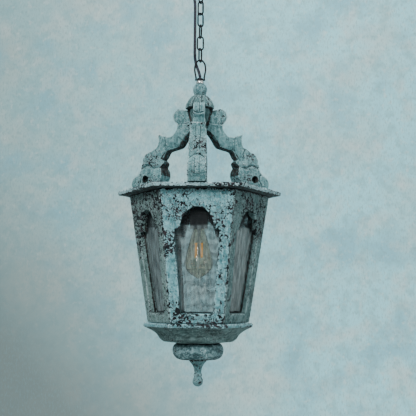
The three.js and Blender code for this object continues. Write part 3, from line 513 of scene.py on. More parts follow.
tube = turned("threaded_tube", [(3.6, z0), (4.7, z0), (5, z0 + 0.4), (5, z1 - 0.4), (4.7, z1),
                                (3.6, z1), (3.6, z0)], 40)
finish(tube, zinc, "lantern", "hanger_tube")


# ---------------------------------------------------------------- painted crown and knob
# Turned mango wood, its leaves cut with a gouge, painted verdigris and rubbed back.
# The knob, the domed crown and the round block below them are threaded on the lamp tube.
def points_of(mesh):
    """The places and the normals of a mesh's points."""
    place = np.empty(len(mesh.vertices) * 3, np.float32)
    mesh.vertices.foreach_get("co", place)
    normal = np.empty_like(place)
    mesh.vertices.foreach_get("normal", normal)
    return place.reshape(-1, 3), normal.reshape(-1, 3)


def feel_edges(piece, bare_and_shaded=None):
    """Notes at each point how far it stands proud (over 0.5) or lies sunk (under 0.5), and
    by bare_and_shaded(places, normals) how far it is laid dark like unpainted wood, which
    stands partly for wood left unpainted and partly for painted shade."""
    mesh = piece.data
    count = len(mesh.vertices)
    place, normal = points_of(mesh)
    ends = np.empty(len(mesh.edges) * 2, np.int32)
    mesh.edges.foreach_get("vertices", ends)
    a, b = ends.reshape(-1, 2).T
    gap = place[b] - place[a]
    long = np.linalg.norm(gap, axis=1) + 1e-9
    bow = np.zeros(count)
    np.add.at(bow, a, -(normal[a] * gap).sum(1) / long)
    np.add.at(bow, b, (normal[b] * gap).sum(1) / long)
    links = np.bincount(ends, minlength=count)
    bow /= np.maximum(links, 1)
    for _ in range(2):
        total = bow * 2
        np.add.at(total, a, bow[b])
        np.add.at(total, b, bow[a])
        bow = total / (links + 2)
    proud = mesh.attributes.new("proud", "FLOAT", "POINT")
    proud.data.foreach_set("value", np.clip(0.5 + 1.6 * bow, 0, 1).astype(np.float32))
    if bare_and_shaded:
        left = mesh.attributes.new("bare_and_shaded", "FLOAT", "POINT")
        left.data.foreach_set("value", np.clip(bare_and_shaded(place / mm, normal), 0, 1)
                              .astype(np.float32))


def carve(piece, depth):
    """Moves every point inwards by depth(places, normals), in mm, as a gouge would."""
    place, normal = points_of(piece.data)
    moved = place - normal * (depth(place / mm, normal)[:, None] * mm)
    piece.data.vertices.foreach_set("co", moved.astype(np.float32).ravel())
    piece.data.update()


def weather(piece, voxel, edge, uneven=0, grain=0):
    """Years of use: edges rounded, faces slightly uneven, the whole one even skin."""
    if edge:
        modified(piece, "BEVEL", width=edge * mm, segments=2, angle_limit=math.radians(32))
    modified(piece, "REMESH", mode="VOXEL", voxel_size=voxel * mm)
    modified(piece, "SMOOTH", iterations=2)
    if uneven:
        lumps = bpy.data.textures.new("uneven_wood", "CLOUDS")
        lumps.noise_scale = grain * mm
        lumps.noise_depth = 2
        modified(piece, "DISPLACE", texture=lumps, texture_coords="LOCAL",
                 strength=uneven * mm, mid_level=0.9)


def milk_paint(name, body, deep, pale, bright, chips, grime, wear, flecks=0.25, edges=0.3,
               grain=(1, 1, 0.14), patches=(), top=None):
    """Verdigris milk paint on wood: chalky, brushed on in two tones, flaked off in short
    dark chips with pale broken rims, rubbed pale on the edges, and darkened in the
    hollows with dust and with painted shade."""
    made, add, shader, place = new_material(name)
    # two tones of paint in clouds of 10 to 40 mm, brushed along the grain
    cloud = add("TexNoise", {"Vector": place, "Scale": 34.0, "Detail": 6.0, "Roughness": 0.65})
    tone = add("MapRange", {0: cloud, 1: 0.42, 2: 0.58})
    along = add("Mapping", {"Vector": place, "Scale": grain})
    brush = add("TexNoise", {"Vector": along, "Scale": 230.0, "Detail": 4.0})
    stroke = add("MapRange", {0: brush, 1: 0.46, 2: 0.66, 4: 0.6})
    # drawn at 3 and 7 mm, coarser than real dust and crackle, so that it shows
    speck = add("TexNoise", {"Vector": place, "Scale": 330.0, "Detail": 2.0})
    mark = add("TexNoise", {"Vector": place, "Scale": 140.0, "Detail": 4.0})
    fleck = add("MapRange", {0: mark, 1: 0.56, 2: 0.61, 4: flecks})
    dirt = add("Math", {0: speck, 1: mark}, operation="ADD")
    dirt = add("MapRange", {0: dirt, 1: 0.9, 2: 0.78, 4: grime})
    # where the chips lie: clouds of about 50 mm, more on the edges and the named places
    proud = add("Attribute", gives="Fac", attribute_name="proud")
    field = add("TexNoise", {"Vector": place, "Scale": 21.0, "Detail": 3.0})
    field = add("MapRange", {0: field, 1: 0.3, 2: 0.7, 3: chips - 0.35, 4: chips + 0.35})
    nearer = [(proud, 0.55, 0.68, edges)]
    for x, y, z, size, more in patches:
        away = add("VectorMath", {0: place, 1: (x * mm, y * mm, z * mm)}, operation="DISTANCE")
        nearer.append((away, size * mm, size * 0.4 * mm, more))
    if top:
        height = add("SeparateXYZ", {0: place}, "Z")
        nearer.append((height, top[0] * mm, top[1] * mm, top[2]))
    for measure, none, full, more in nearer:
        near = add("MapRange", {0: measure, 1: none, 2: full, 4: more})
        field = add("Math", {0: field, 1: near}, operation="ADD")
    # short curved strokes: the level lines of a 9 mm noise
    bent = add("TexNoise", {"Vector": place, "Scale": 112.0, "Detail": 3.0, "Distortion": 0.8})
    ridge = add("Math", {0: bent, 1: 0.5}, operation="SUBTRACT")
    ridge = add("Math", {0: ridge}, operation="ABSOLUTE")
    broken = add("TexNoise", {"Vector": place, "Scale": 190.0, "Detail": 2.0})
    width = add("Math", {0: broken, 1: field}, operation="MULTIPLY")
    width = add("MapRange", {0: width, 1: 0.14, 2: 0.5, 3: -0.015, 4: 0.07})
    strokes = add("Math", {0: width, 1: ridge}, operation="SUBTRACT")
    # and flakes of 4 to 8 mm
    lump = add("TexNoise", {"Vector": place, "Scale": 102.0, "Detail": 3.0, "Roughness": 0.6})
    need = add("MapRange", {0: field, 1: 0.0, 2: 1.0, 3: 0.73, 4: 0.545})
    flakes = add("Math", {0: lump, 1: need}, operation="SUBTRACT")
    either = add("Math", {0: strokes, 1: flakes}, operation="MAXIMUM")
    gone = add("MapRange", {0: either, 1: 0.0, 2: 0.012})
    rim = add("MapRange", {0: either, 1: -0.018, 2: -0.004, 4: 0.8})
    shade = add("TexNoise", {"Vector": place, "Scale": 75.0, "Detail": 2.0})
    bark = add("MapRange", {0: shade, 1: 0.48, 2: 0.6})
    bark = add("Mix", {0: bark, 6: "151c1f", 7: "383438"}, data_type="RGBA")
    # edges rubbed pale; hollows darkened with grime and with painted shade
    rough_edge = add("Math", {0: speck, 1: 0.22}, operation="MULTIPLY")
    felt = add("Math", {0: proud, 1: rough_edge}, operation="ADD")
    rubbed = add("MapRange", {0: felt, 1: 0.68, 2: 0.78, 4: wear})
    sunk = add("MapRange", {0: felt, 1: 0.56, 2: 0.40, 4: 0.75})
    # wood that was never painted: brown-grey, open-grained, dusted with stray paint; laid also
    # where bare_and_shaded asks, partly as painted shade
    raw = add("MapRange", {0: brush, 1: 0.4, 2: 0.6})
    raw = add("Mix", {0: raw, 6: "1f2122", 7: "434342"}, data_type="RGBA")
    stray = add("MapRange", {0: mark, 1: 0.54, 2: 0.62, 4: 0.7})
    raw = add("Mix", {0: stray, 6: raw, 7: deep}, data_type="RGBA")
    left = add("Attribute", gives="Fac", attribute_name="bare_and_shaded")
    left = add("Math", {0: left, 1: rough_edge}, operation="ADD")
    left = add("MapRange", {0: left, 1: 0.5, 2: 0.66})
    # one over the other, from the first coat up
    paint = deep
    for share, over in ((tone, body), (stroke, pale), (fleck, bright), (dirt, "34474a"),
                        (rim, bright), (rubbed, bright), (gone, bark), (sunk, "202c2e"),
                        (left, raw)):
        paint = add("Mix", {0: share, 6: paint, 7: over}, data_type="RGBA")
    # the paint film stands about 0.4 mm over the bare wood
    film = add("Math", {0: gone, 1: -1.0}, operation="MULTIPLY")
    skin = add("Math", {0: mark, 1: 1.2, 2: film}, operation="MULTIPLY_ADD")
    plug(shader, {
        "Base Color": paint,
        "Roughness": add("MapRange", {0: gone, 3: 0.86, 4: 0.72}),
        "Specular IOR Level": 0.2,
        "Normal": add("Bump", {"Height": skin, "Distance": 0.0005, "Strength": 1.0})})
    return made


turned_paint = milk_paint("milk_paint_turned", "628e93", "436c70", "88b6bb", "b2d4d8",
                          chips=0.5, grime=0.9, wear=0.7)
z0, z1 = heights("top_knob")
knob = turned("turned_knob", [(tube_r, z0)] + eased([
    (11.5, z0), (13.2, z0 + 0.6), (13.9, z0 + 3), (15, z0 + 6.5), (16.1, z0 + 11),
    (16.3, z0 + 15), (15.6, z0 + 19), (14, z0 + 22.6), (11.8, z0 + 25.6), (10, z1 - 0.2)])
    + [(8.4, z1), (tube_r, z1), (tube_r, z0)], 72)
weather(knob, 0.8, 0, 1.4, 7)
feel_edges(knob)
finish(knob, turned_paint, "lantern", "top_knob", None)

# The crown: ten drooping leaves with a deep cut between them, undercut at the foot.
z0, z1 = heights("crown_cap")
crown = turned("carved_crown", [(tube_r, z0)] + eased([
    (30, z0), (32.6, z0 + 1), (33.4, z0 + 4), (32.9, z0 + 8), (31, z0 + 13.4), (27.6, z0 + 19.6),
    (24, z0 + 24.6), (20.4, z0 + 29), (17.6, z1 - 0.8)])
    + [(16, z1), (tube_r, z1), (tube_r, z0)], 96)
weather(crown, 0.9, 0, 1.2, 9)


def crown_leaves(place, normal):
    """Rounded leaves, each with a rib beside its middle, parted by V cuts."""
    x, y, z = place.T
    turn = np.arctan2(y, x) + math.pi / 2
    out = np.hypot(x, y)
    up = np.clip((z - z0) / (z1 - z0), 0, 1)
    across = (turn * 5 / math.pi + 0.5) % 1 - 0.5
    away = np.abs(across) * out * math.pi / 5
    between = 3.2 * np.exp(-((away / 1.5) ** 2)) * (1 - 0.3 * up)
    middle = 0.5 - np.abs(across)
    rounded = 2.4 * (1 - np.clip(np.abs(across) * 5, 0, 1)) ** 2
    rib = 0.8 * np.exp(-(((middle * out * math.pi / 5 - 2.6) / 1.0) ** 2)) * (up < 0.8)
    under = 2.4 * np.exp(-(((z - z0 - 5.4 - 3 * np.abs(across)) / 1.5) ** 2))
    side = np.clip(np.hypot(normal[:, 0], normal[:, 1]) * 1.6 - 0.3, 0, 1)
    return (between + rounded + rib + under * (middle > 0.12)) * side * (out > 12)


carve(crown, crown_leaves)
# the crown's underside is laid dark like unpainted wood: painted shade under it
feel_edges(crown, lambda place, normal: -normal[:, 2] * 2 - 1)
crown_paint = milk_paint("milk_paint_crown", "4f7375", "3b5c5d", "6b9091", "a9cacc",
                         chips=0.34, grime=0.9, wear=0.45, flecks=0.12)
finish(crown, crown_paint, "lantern", "crown_cap", None)
z1 = heights("crown_hub")[1]
hub = turned("crown_block", [(tube_r, z1 - 46)] + eased([
    (7, z1 - 46), (11, z1 - 41), (15.5, z1 - 33), (19.5, z1 - 22), (22, z1 - 12),
    (23, z1 - 2)]) + [(22.4, z1), (tube_r, z1), (tube_r, z1 - 46)], 64)
weather(hub, 1.2, 0, 0.8, 10)
# the block between the arms is laid dark in patches like unpainted wood: partly painted shade
feel_edges(hub, lambda place, normal: np.full(len(place), 0.4))
finish(hub, crown_paint, "lantern", "crown_hub", None)


# ---------------------------------------------------------------- scrolled arms
# Three brackets band-sawn from thick mango board, slim at the scroll and broad at the foot,
# with gouged leaves, a bored hole and a rolled toe. Screwed up through the roof plate.
def sawn_board(name, line, thick):
    """A board sawn to a closed outline of (out, up) in mm, standing across the y axis."""
    piece = drawn(name, line, y=-thick / 2 * mm)
    bpy.ops.mesh.edge_face_add()
    bpy.ops.mesh.extrude_region_move(TRANSFORM_OT_translate={"value": (0, thick * mm, 0)})
    bpy.ops.mesh.select_all(action="SELECT")
    bpy.ops.mesh.normals_make_consistent(inside=False)
    bpy.ops.object.mode_set(mode="OBJECT")
    bpy.ops.object.transform_apply()
    return piece


def arc(r, z, radius, first, last):
    """Points round part of a circle, from one angle to another in degrees."""
    return [(r + radius * math.cos(math.radians(a)), z + radius * math.sin(math.radians(a)))
            for a in np.linspace(first, last, 14)]


roof_z = heights("roof_plate")[0]
arm_line = (
    [(6, 197), (24, 198)] + arc(49, 187, 17, 118, -70)
    + eased([(53.4, 166), (54.6, 157), (59, 148.6), (66, 142.4), (74, 140.6)])
    + eased([(80, 141.4), (90, 144.6), (98, 147.6), (103.5, 149)], 3)
    + eased([(105, 147), (102.6, 139), (102.4, 132), (104.4, 123), (108, 117.4)])
    + eased([(113, 116.6), (120, 112), (127, 108.6), (134, 107), (139, 103), (143.6, 96),
             (145.4, 90), (144.6, 84), (148.4, 78), (149.4, 68), (154, 62), (160, 58)])
    + arc(157.5, 36, 19, 62, -58)
    + [(165, 11.3), (101, 11.3)]
    + eased([(101, 18), (100, 30), (97, 40), (93, 48), (91.4, 57), (93, 66), (97, 72.5)])
    + [(88.5, 82)] + eased([(91, 86), (96, 91)]) + eased([(91, 95), (87.6, 101), (85, 106),
                                                         (81, 109)])
    + eased([(73, 111), (62, 112.6), (52, 114.6)])
    + eased([(48.4, 116), (43, 121), (36, 131), (28, 141), (18, 150), (6, 157)]))


def nearest(r, z, line):
    """How far each point (r, z) is from a drawn line, in mm."""
    best = np.full(len(r), 1e3)
    for (r0, z0), (r1, z1) in zip(line, line[1:]):
        dr, dz = r1 - r0, z1 - z0
        t = np.clip(((r - r0) * dr + (z - z0) * dz) / (dr * dr + dz * dz), 0, 1)
        best = np.minimum(best, np.hypot(r - r0 - t * dr, z - z0 - t * dz))
    return best


inner_edge = [(6, 157), (18, 150), (28, 141), (36, 131), (43, 121), (52, 114.6), (81, 109),
              (91, 95), (96, 91), (88, 82)]
arm_thick = 43


def tapered(piece):
    """The board planed thinner towards its scroll and towards its inner edge."""
    place, _ = points_of(piece.data)
    r, t, z = place[:, 0] / mm, place[:, 1] / mm, place[:, 2] / mm - roof_z
    across = np.interp(z, (0, 30, 79, 142, 150, 158, 205), (43, 42.4, 40, 34, 32, 27.5, 26.5))
    across *= 1 - 0.42 * np.clip(1 - nearest(r, z, inner_edge) / 20, 0, 1) ** 1.4
    place[:, 1] = t * across / arm_thick * mm
    piece.data.vertices.foreach_set("co", place.ravel())
    piece.data.update()


# Gouge cuts in an arm's cheeks, as (points out from the axis and up, width, depth).
cheek_cuts = [
    (eased([(89.5, 147), (85.2, 138), (82.8, 126), (84.2, 112), (87.4, 102), (94, 94)]),
     1.8, 1.7),
    (eased([(98, 74), (106, 72.6), (115, 71.4), (124, 77), (134, 78), (146, 74)]), 3.4, 4.2),
    (eased([(42, 166), (50, 160), (58, 147), (67, 136), (78, 128)]), 2.2, 1.0),
    (eased([(97, 141), (94, 130), (95, 119), (101, 109)]), 2.0, 1.0),
    (eased([(110, 112), (106, 103), (108, 94)]), 2.4, 1.9),
    (eased([(123, 106), (118, 98), (120, 90)]), 2.4, 1.7),
    (eased([(136, 101), (130, 93), (132, 86)]), 2.4, 1.7),
    (eased([(154, 61), (150, 53), (151, 43), (156, 34), (157, 22)]), 2.0, 3.0),
    (eased([(100, 40), (110, 44), (119, 47.5), (128, 49.5)]), 1.6, 1.0),
    (eased([(163, 44), (168, 38), (164, 31), (157, 33)]), 1.5, 1.4),
]


def arm_shape(place, normal):
    """The carving of an arm that stands out along the x axis."""
    r, t, z = place[:, 0], place[:, 1], place[:, 2] - roof_z
    cheek = np.clip(np.abs(normal[:, 1]) * 2 - 0.7, 0, 1)
    total = np.zeros(len(r))
    for line, wide, deep in cheek_cuts:
        total += deep * np.exp(-((nearest(r, z, line) / wide) ** 2)) * cheek
    # the scroll's cheeks are domed, the belly of the foot swells
    total += 3.2 * np.clip((np.hypot(r - 49, z - 187) - 8) / 9, 0, 1) ** 2 * cheek * (z > 168)
    belly = nearest(r, z, [(112, 58), (134, 62)])
    total += 2.0 * np.clip(belly / 26, 0, 1) ** 2 * cheek * (z < 72)
    # a pair of flutes down the back, one crease over the scroll, and cuts across
    back = np.clip(normal[:, 0] * 2 + normal[:, 2] - 0.4, 0, 1)
    pair = sum(np.exp(-((t - side) / 1.4) ** 2) for side in (-5, 5))
    total += 1.7 * pair * back * ((z > 82) & (z < 140) | (z > 28) & (z < 60))
    total += 2.2 * np.exp(-((t - 0.8) / 1.2) ** 2) * back * (z > 180)
    for level, droop, deep in ((178, 0.02, 3.2), (71, -0.035, 2.2), (24, 0.01, 1.6)):
        total += deep * np.exp(-(((z - level - droop * t * t) / 1.6) ** 2)) * back
    return total


azimuths = {"front": -90, "right": 30, "left": 150}
arm_chips = []
for azimuth in azimuths.values():
    for r, z, size, more in ((128, 90, 40, 0.35), (118, 34, 36, 0.6)):
        a = math.radians(azimuth)
        arm_chips.append((r * math.cos(a), r * math.sin(a), z + roof_z, size, more))
arm_paint = milk_paint("milk_paint_arms", "659093", "4c7679", "82acaf", "bfe0e3",
                       chips=0.36, grime=0.75, wear=0.6, flecks=0.16, patches=arm_chips)
arm = sawn_board("scroll_arm", [(r, z + roof_z) for r, z in arm_line], arm_thick)
hole_out, hole_up, hole_r = 137, 46, 8.2
bored(arm, hole_r, 60, (hole_out * mm, 0, (roof_z + hole_up) * mm),
      turn=(math.radians(90), 0, 0))
weather(arm, 1.25, 1.8)
tapered(arm)
carve(arm, arm_shape)


def arm_bare_and_shaded(place, normal):
    """Laid dark like unpainted wood, partly wood the brush missed and partly painted shade:
    the inner edge, the root beside the round block, and inside the hole.
    """
    r, z = place[:, 0], place[:, 2] - roof_z
    inner = (-normal[:, 0] * 1.5 - normal[:, 2] * 0.8 - 0.25) * (z > 52)
    inner *= nearest(r, z, inner_edge + [(97, 72), (92, 60), (92, 50)]) < 4
    root = np.clip((27 - r + (z - 187) * 0.32) / 5, 0, 1) * (z > 120)
    bore = np.hypot(r - hole_out, z - hole_up) < hole_r + 0.6
    return np.maximum(np.maximum(inner, root), bore * 1.0)


feel_edges(arm, arm_bare_and_shaded)
for side_name, azimuth in azimuths.items():
    one = copy_of(arm, f"scroll_arm_{side_name}")
    one.rotation_euler.z = math.radians(azimuth)
    finish(one, arm_paint, "lantern", f"arm_{side_name}", None)
bpy.data.objects.remove(arm)


# ---------------------------------------------------------------- roof plate
# One hexagonal board of mango wood, 11 mm thick, that the arms are screwed to from below.
# Its edges are chipped, and its underside is laid dark like unpainted wood: painted shade under
# the overhang.
def sawn_copy(node_name, name):
    """The plain sawn piece, to be worn and carved."""
    piece = copy_of(frame["nodes"][node_name], name)
    pick(piece)
    bpy.ops.object.mode_set(mode="EDIT")
    bpy.ops.mesh.select_all(action="SELECT")
    bpy.ops.mesh.remove_doubles(threshold=0.005 * mm)
    bpy.ops.mesh.dissolve_limited(angle_limit=math.radians(1))
    bpy.ops.object.mode_set(mode="OBJECT")
    return piece


roof_paint = milk_paint("milk_paint_roof", "88b0b6", "5f898e", "b2d6dc", "cbe9ee",
                        chips=0.56, grime=0.6, wear=0.8, edges=0.6, grain=(0.16, 1, 1))
roof = sawn_copy("roof_plate", "roof_board")
weather(roof, 1.9, 2.2, 1.8, 24)
# the underside laid dark: painted shade
feel_edges(roof, lambda place, normal: -normal[:, 2] * 2 - 0.7)
finish(roof, roof_paint, "lantern", "roof_plate", None)


# ---------------------------------------------------------------- panels
# Six mango boards mitred at the corners, each with an arched window cut with a shoulder at
# the springing. Painted outside like the rest, the front one flaked most about its head.
front_paint = milk_paint("milk_paint_front", "6da6ad", "50848b", "97d2da", "c4f0f6",
                         chips=0.5, grime=0.5, wear=0.6, edges=0.45, top=(-640, -600, 0.2),
                         patches=((-60, -126, -660, 34, 0.8), (-40, -110, -815, 40, 0.35),
                                  (30, -105, -815, 44, 0.4)))
# the sides take a darker, greyer copy of the front's paint, which is partly painted shade
shaded_side_paint = milk_paint("milk_paint_sides_shaded", "5f7f7f", "446162", "7f9f9f", "a9c6c7",
                        chips=0.52, grime=0.75, wear=0.6, flecks=0.2, edges=0.4,
                        top=(-665, -615, 0.35))
faded_paint = milk_paint("milk_paint_faded", "76928f", "56706d", "93b3b2", "b4cfd0",
                         chips=0.56, grime=0.7, wear=0.6, flecks=0.15, edges=0.4,
                         top=(-665, -625, 0.5))
sides = {"front": 0, "front_right": 60, "rear_right": 120, "rear": 180, "rear_left": 240,
         "front_left": 300}


def window_edge(place, normal):
    """The inner 7 mm of a window's sawn edges, laid dark like unpainted wood: painted shade in
    the window's jambs.
    """
    middle, half_height, half_width, deep = -703, 106, 48, 7
    outward, height = place @ out, place[:, 2]
    back = normal @ out < -0.8
    slope, level = np.polyfit(height[back], outward[back], 1)
    near = (np.abs(place @ along) < half_width) & (np.abs(height - middle) < half_height)
    near &= outward < height * slope + level + deep
    return (0.8 - 2.5 * np.abs(normal @ out)) * near


panel_paints = {"front": front_paint, "rear": front_paint, "front_left": faded_paint}
for side_name, degrees in sides.items():
    turn = math.radians(degrees)
    out = np.array((math.sin(turn), -math.cos(turn), 0))
    along = np.array((math.cos(turn), math.sin(turn), 0))
    panel = sawn_copy(f"panel_{side_name}", f"arched_panel_{side_name}")
    weather(panel, 1.7, 1.3, 0.9, 30)
    feel_edges(panel, window_edge)
    finish(panel, panel_paints.get(side_name, shaded_side_paint),
           "door" if side_name == "rear" else "lantern", f"panel_{side_name}",
           None)


# ---------------------------------------------------------------- woven wire screens
# Plain-woven galvanised wire cloth, dulled, stapled behind each window. One patch of four
# wires is woven, repeated, and trimmed to the window's shape with its overlap.
pitch, wire_r = 2.5, 0.45  # drawn coarser than real insect screen, so that it shows
wires = []
for warp, first in ((True, 1), (True, -1), (False, -1), (False, 1)):
    shift = pitch if first * (1 if warp else -1) < 0 else 0
    where = (shift, first * wire_r, 0) if warp else (0, first * wire_r, shift)
    turn = (0, 0, math.radians(45)) if warp else (math.radians(45), math.radians(90), 0)
    wire = start("wire", [v * mm for v in where], bpy.ops.mesh.primitive_circle_add,
                 vertices=4, radius=wire_r * mm, rotation=turn)
    for step in (-1, 1):
        over = 2 * step * first * wire_r
        along = (0, over, pitch) if warp else (pitch, over, 0)
        bpy.ops.mesh.extrude_region_move(
            TRANSFORM_OT_translate={"value": [v * mm for v in along]})
    bpy.ops.object.mode_set(mode="OBJECT")
    bpy.ops.object.transform_apply()
    wires.append(wire)
cloth = joined("wire_cloth", *wires)
screen_low, screen_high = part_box("screen_front")
cloth_thick = 0.8
lean = math.atan((screen_high.y - screen_low.y - cloth_thick * mm)
                 / (screen_high.z - screen_low.z))
length = (screen_high.z - screen_low.z) / mm / math.cos(lean) + 0.1
for axis, extent in ((0, 2 * screen_high.x / mm), (2, length)):
    count = math.ceil(extent / 2 / pitch) + 1
    way = Vector([i == axis for i in range(3)])
    modified(cloth, "ARRAY", use_relative_offset=False, use_constant_offset=True,
             constant_offset_displace=2 * pitch * mm * way, count=count,
             use_merge_vertices=True, merge_threshold=0.01 * mm)
    cloth.location -= count * pitch * mm * way
bpy.ops.object.transform_apply()
bpy.ops.object.mode_set(mode="EDIT")
top_half, foot_half = screen_high.x / mm, 39.7
slant = (top_half - foot_half) / length
for point, way in (((0, 0, length / 2), (0, 0, 1)), ((0, 0, -length / 2), (0, 0, -1)),
                   ((top_half, 0, length / 2), (1, 0, -slant)),
                   ((-top_half, 0, length / 2), (-1, 0, -slant))):
    bpy.ops.mesh.select_all(action="SELECT")
    bpy.ops.mesh.bisect(plane_co=[v * mm for v in point], plane_no=way, clear_outer=True)
bpy.ops.mesh.select_all(action="SELECT")
bpy.ops.mesh.fill_holes(sides=8)
bpy.ops.mesh.select_all(action="SELECT")
bpy.ops.mesh.normals_make_consistent(inside=False)
bpy.ops.object.mode_set(mode="OBJECT")
cloth.rotation_euler.x = lean
cloth.location = (screen_low + screen_high) / 2
cloth.location.x = 0
bpy.ops.object.transform_apply()


def wire_finish(name, bright, dull, darkening):
    """Galvanised wire gone grey: streaks of zinc bloom and dust. Painted shade makes it dark
    above the lampholder's foot, and it is darker along the sill."""
    made, add, shader, place = new_material(name)
    streak = add("Mapping", {"Vector": place, "Scale": (1, 1, 0.12)})
    streak = add("TexNoise", {"Vector": streak, "Scale": 190.0, "Detail": 3.0})
    share = add("MapRange", {0: streak, 1: 0.38, 2: 0.62})
    colour = add("Mix", {0: share, 6: dull, 7: bright}, data_type="RGBA")
    height = add("SeparateXYZ", {0: place}, "Z")
    uneven = add("TexNoise", {"Vector": place, "Scale": 60.0, "Detail": 4.0})
    level = add("Math", {0: uneven, 1: 0.008, 2: height}, operation="MULTIPLY_ADD")
    # painted shade above the lampholder's foot, and a dark band along the sill
    above = add("MapRange", {0: level, 1: -0.617, 2: -0.613})
    below = add("MapRange", {0: level, 1: -0.796, 2: -0.798})
    dark = add("Math", {0: above, 1: below}, operation="MAXIMUM")
    plug(shader, {
        "Base Color": add("Mix", {0: dark, 6: colour, 7: darkening}, data_type="RGBA"),
        "Metallic": 0.2, "Roughness": 0.6})
    return made


grey_wire = wire_finish("galvanised_wire", "8b9b9c", "4f5b5e", "242a2d")
# a paler copy of the wire for the front right window: painted light where the lamps fall on that
# screen
lit_wire = wire_finish("galvanised_wire_lit", "cbd8d8", "929fa0", "363d3f")
slack = bpy.data.textures.new("slack_cloth", "CLOUDS")
slack.noise_scale = 13 * mm
for side_name, degrees in sides.items():
    net = copy_of(cloth, f"wire_screen_{side_name}")
    net.rotation_euler.z = math.radians(degrees)
    finish(net, lit_wire if side_name == "front_right" else grey_wire,
           "door" if side_name == "rear" else "lantern", f"screen_{side_name}",
           30)
    # the wires don't run quite true: each cloth wanders by up to a millimetre
    for way in ("X", "Z"):
        modified(net, "DISPLACE", texture=slack, texture_coords="LOCAL", direction=way,
                 strength=2.0 * mm)
bpy.data.objects.remove(cloth)


# ---------------------------------------------------------------- door hinges and pull
# Two cast brass butt hinges on the rear left corner, their skin gone brown, yellow where
# fingers and the pin rub it, and a small turned and painted pull on the door's free stile.
brass = mottled("aged_brass", 180.0, 4.0, ("3f3729", "877449"), (0.45, 0.66), (0.6, 0.35),
                metal=0.9)
for where in ("upper", "lower"):
    for leaf in ("fixed_leaf", "door_leaf"):
        coat(frame["nodes"][f"hinge_{where}_{leaf}"], brass)
low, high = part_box("door_pull")
pull = turned("turned_pull", eased([(0, 0.3), (4.9, 0.3), (4.6, 1), (3.5, 3.6), (3.9, 5.4),
                                    (6.1, 7.2), (7, 9.4), (6.4, 11.6), (4, 12.8), (0, 13)]), 40)
feel_edges(pull)
panel_lean = math.radians(7.807)
pull.rotation_euler.x = math.radians(-90) - panel_lean
pull.location = ((low.x + high.x) / 2, low.y + 0.9 * mm, (low.z + high.z) / 2 + 0.8 * mm)
finish(pull, turned_paint, "door", "door_pull", 40)


# ---------------------------------------------------------------- base
# A hexagonal mango board moulded to a deep cove below, a turned disc and a turned finial
# with a ball, all threaded on one rod and painted.
# the cove takes a darker copy of the paint, which is partly painted shade on its downward face
shaded_cove_paint = milk_paint("milk_paint_cove_shaded", "56706f", "3c4d4b", "7c9695", "9dbabb",
                        chips=0.4, grime=0.7, wear=0.5, flecks=0.2, grain=(0.16, 1, 1))
tray = sawn_copy("base_tray", "base_moulding")
weather(tray, 1.6, 1.6, 1.0, 28)
feel_edges(tray)
finish(tray, shaded_cove_paint, "lantern", "base_tray", None)
# the lip above it takes the lighter front paint
tray.data.materials.append(front_paint)
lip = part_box("base_tray")[1].z - 8.5 * mm
for face in tray.data.polygons:
    face.material_index = int(face.center.z > lip)
z0, z1 = heights("base_disc")
rod_hole = 3.3
disc = turned("turned_disc", [(rod_hole, z1)] + eased([
    (47, z1), (51.6, z1 - 2.2), (55.2, z1 - 7), (56.8, z1 - 14), (56.2, z1 - 21.4),
    (53.2, z1 - 28.4), (48, z1 - 33.6), (41, z0 + 0.4)], 5)
    + [(38, z0), (rod_hole, z0), (rod_hole, z1)], 120)
weather(disc, 0.9, 0, 1.4, 16)


def disc_crack(place, normal):
    """One long shake in the wood, and a shallow turned line round the shoulder."""
    x, y, z = place.T
    out = np.hypot(x, y)
    along = (np.degrees(np.arctan2(y, x)) + 90 + 8.5) * math.pi / 180 * out
    wander = 1.2 * np.sin(z * 0.3)
    shake = 2.2 * np.exp(-(((along - wander) / 0.9) ** 2)) * (np.abs(z - z1 + 18) < 13)
    ring = 1.1 * np.exp(-(((z - z1 + 4.2) / 1.2) ** 2))
    return (shake + ring) * (out > 44)


carve(disc, disc_crack)
# the flat top and bottom are laid dark like unpainted wood: painted contact shade
feel_edges(disc, lambda place, normal: np.abs(normal[:, 2]) * 3 - 2.2)
disc_paint = milk_paint("milk_paint_disc", "57797c", "38565a", "8fb4b9", "b4d6da",
                        chips=0.44, grime=0.9, wear=0.7, flecks=0.35, grain=(0.3, 0.3, 0.6))
finish(disc, disc_paint, "lantern", "base_disc", None)
z0, z1 = heights("bottom_finial")
ball = [(12 * math.sin(math.radians(a)), z0 + 12 - 12 * math.cos(math.radians(a)))
        for a in range(136, -1, -8)]
finial = turned("ball_finial", [(rod_hole, z1)] + eased([
    (18.4, z1), (19.4, z1 - 1.4), (18.6, z1 - 4), (15.4, z1 - 7.6), (12.2, z1 - 12),
    (9.9, z1 - 17), (8.4, z1 - 23), (8, z1 - 28), (8.8, z1 - 30.4), (10, z1 - 32),
    (9.9, z1 - 34), (8.6, z1 - 35.6)], 5) + ball
    + [(0, z1 - 28), (rod_hole, z1 - 28), (rod_hole, z1)], 72)
weather(finial, 0.8, 0, 1.0, 9)
feel_edges(finial)
finish(finial, turned_paint, "lantern", "bottom_finial", None)


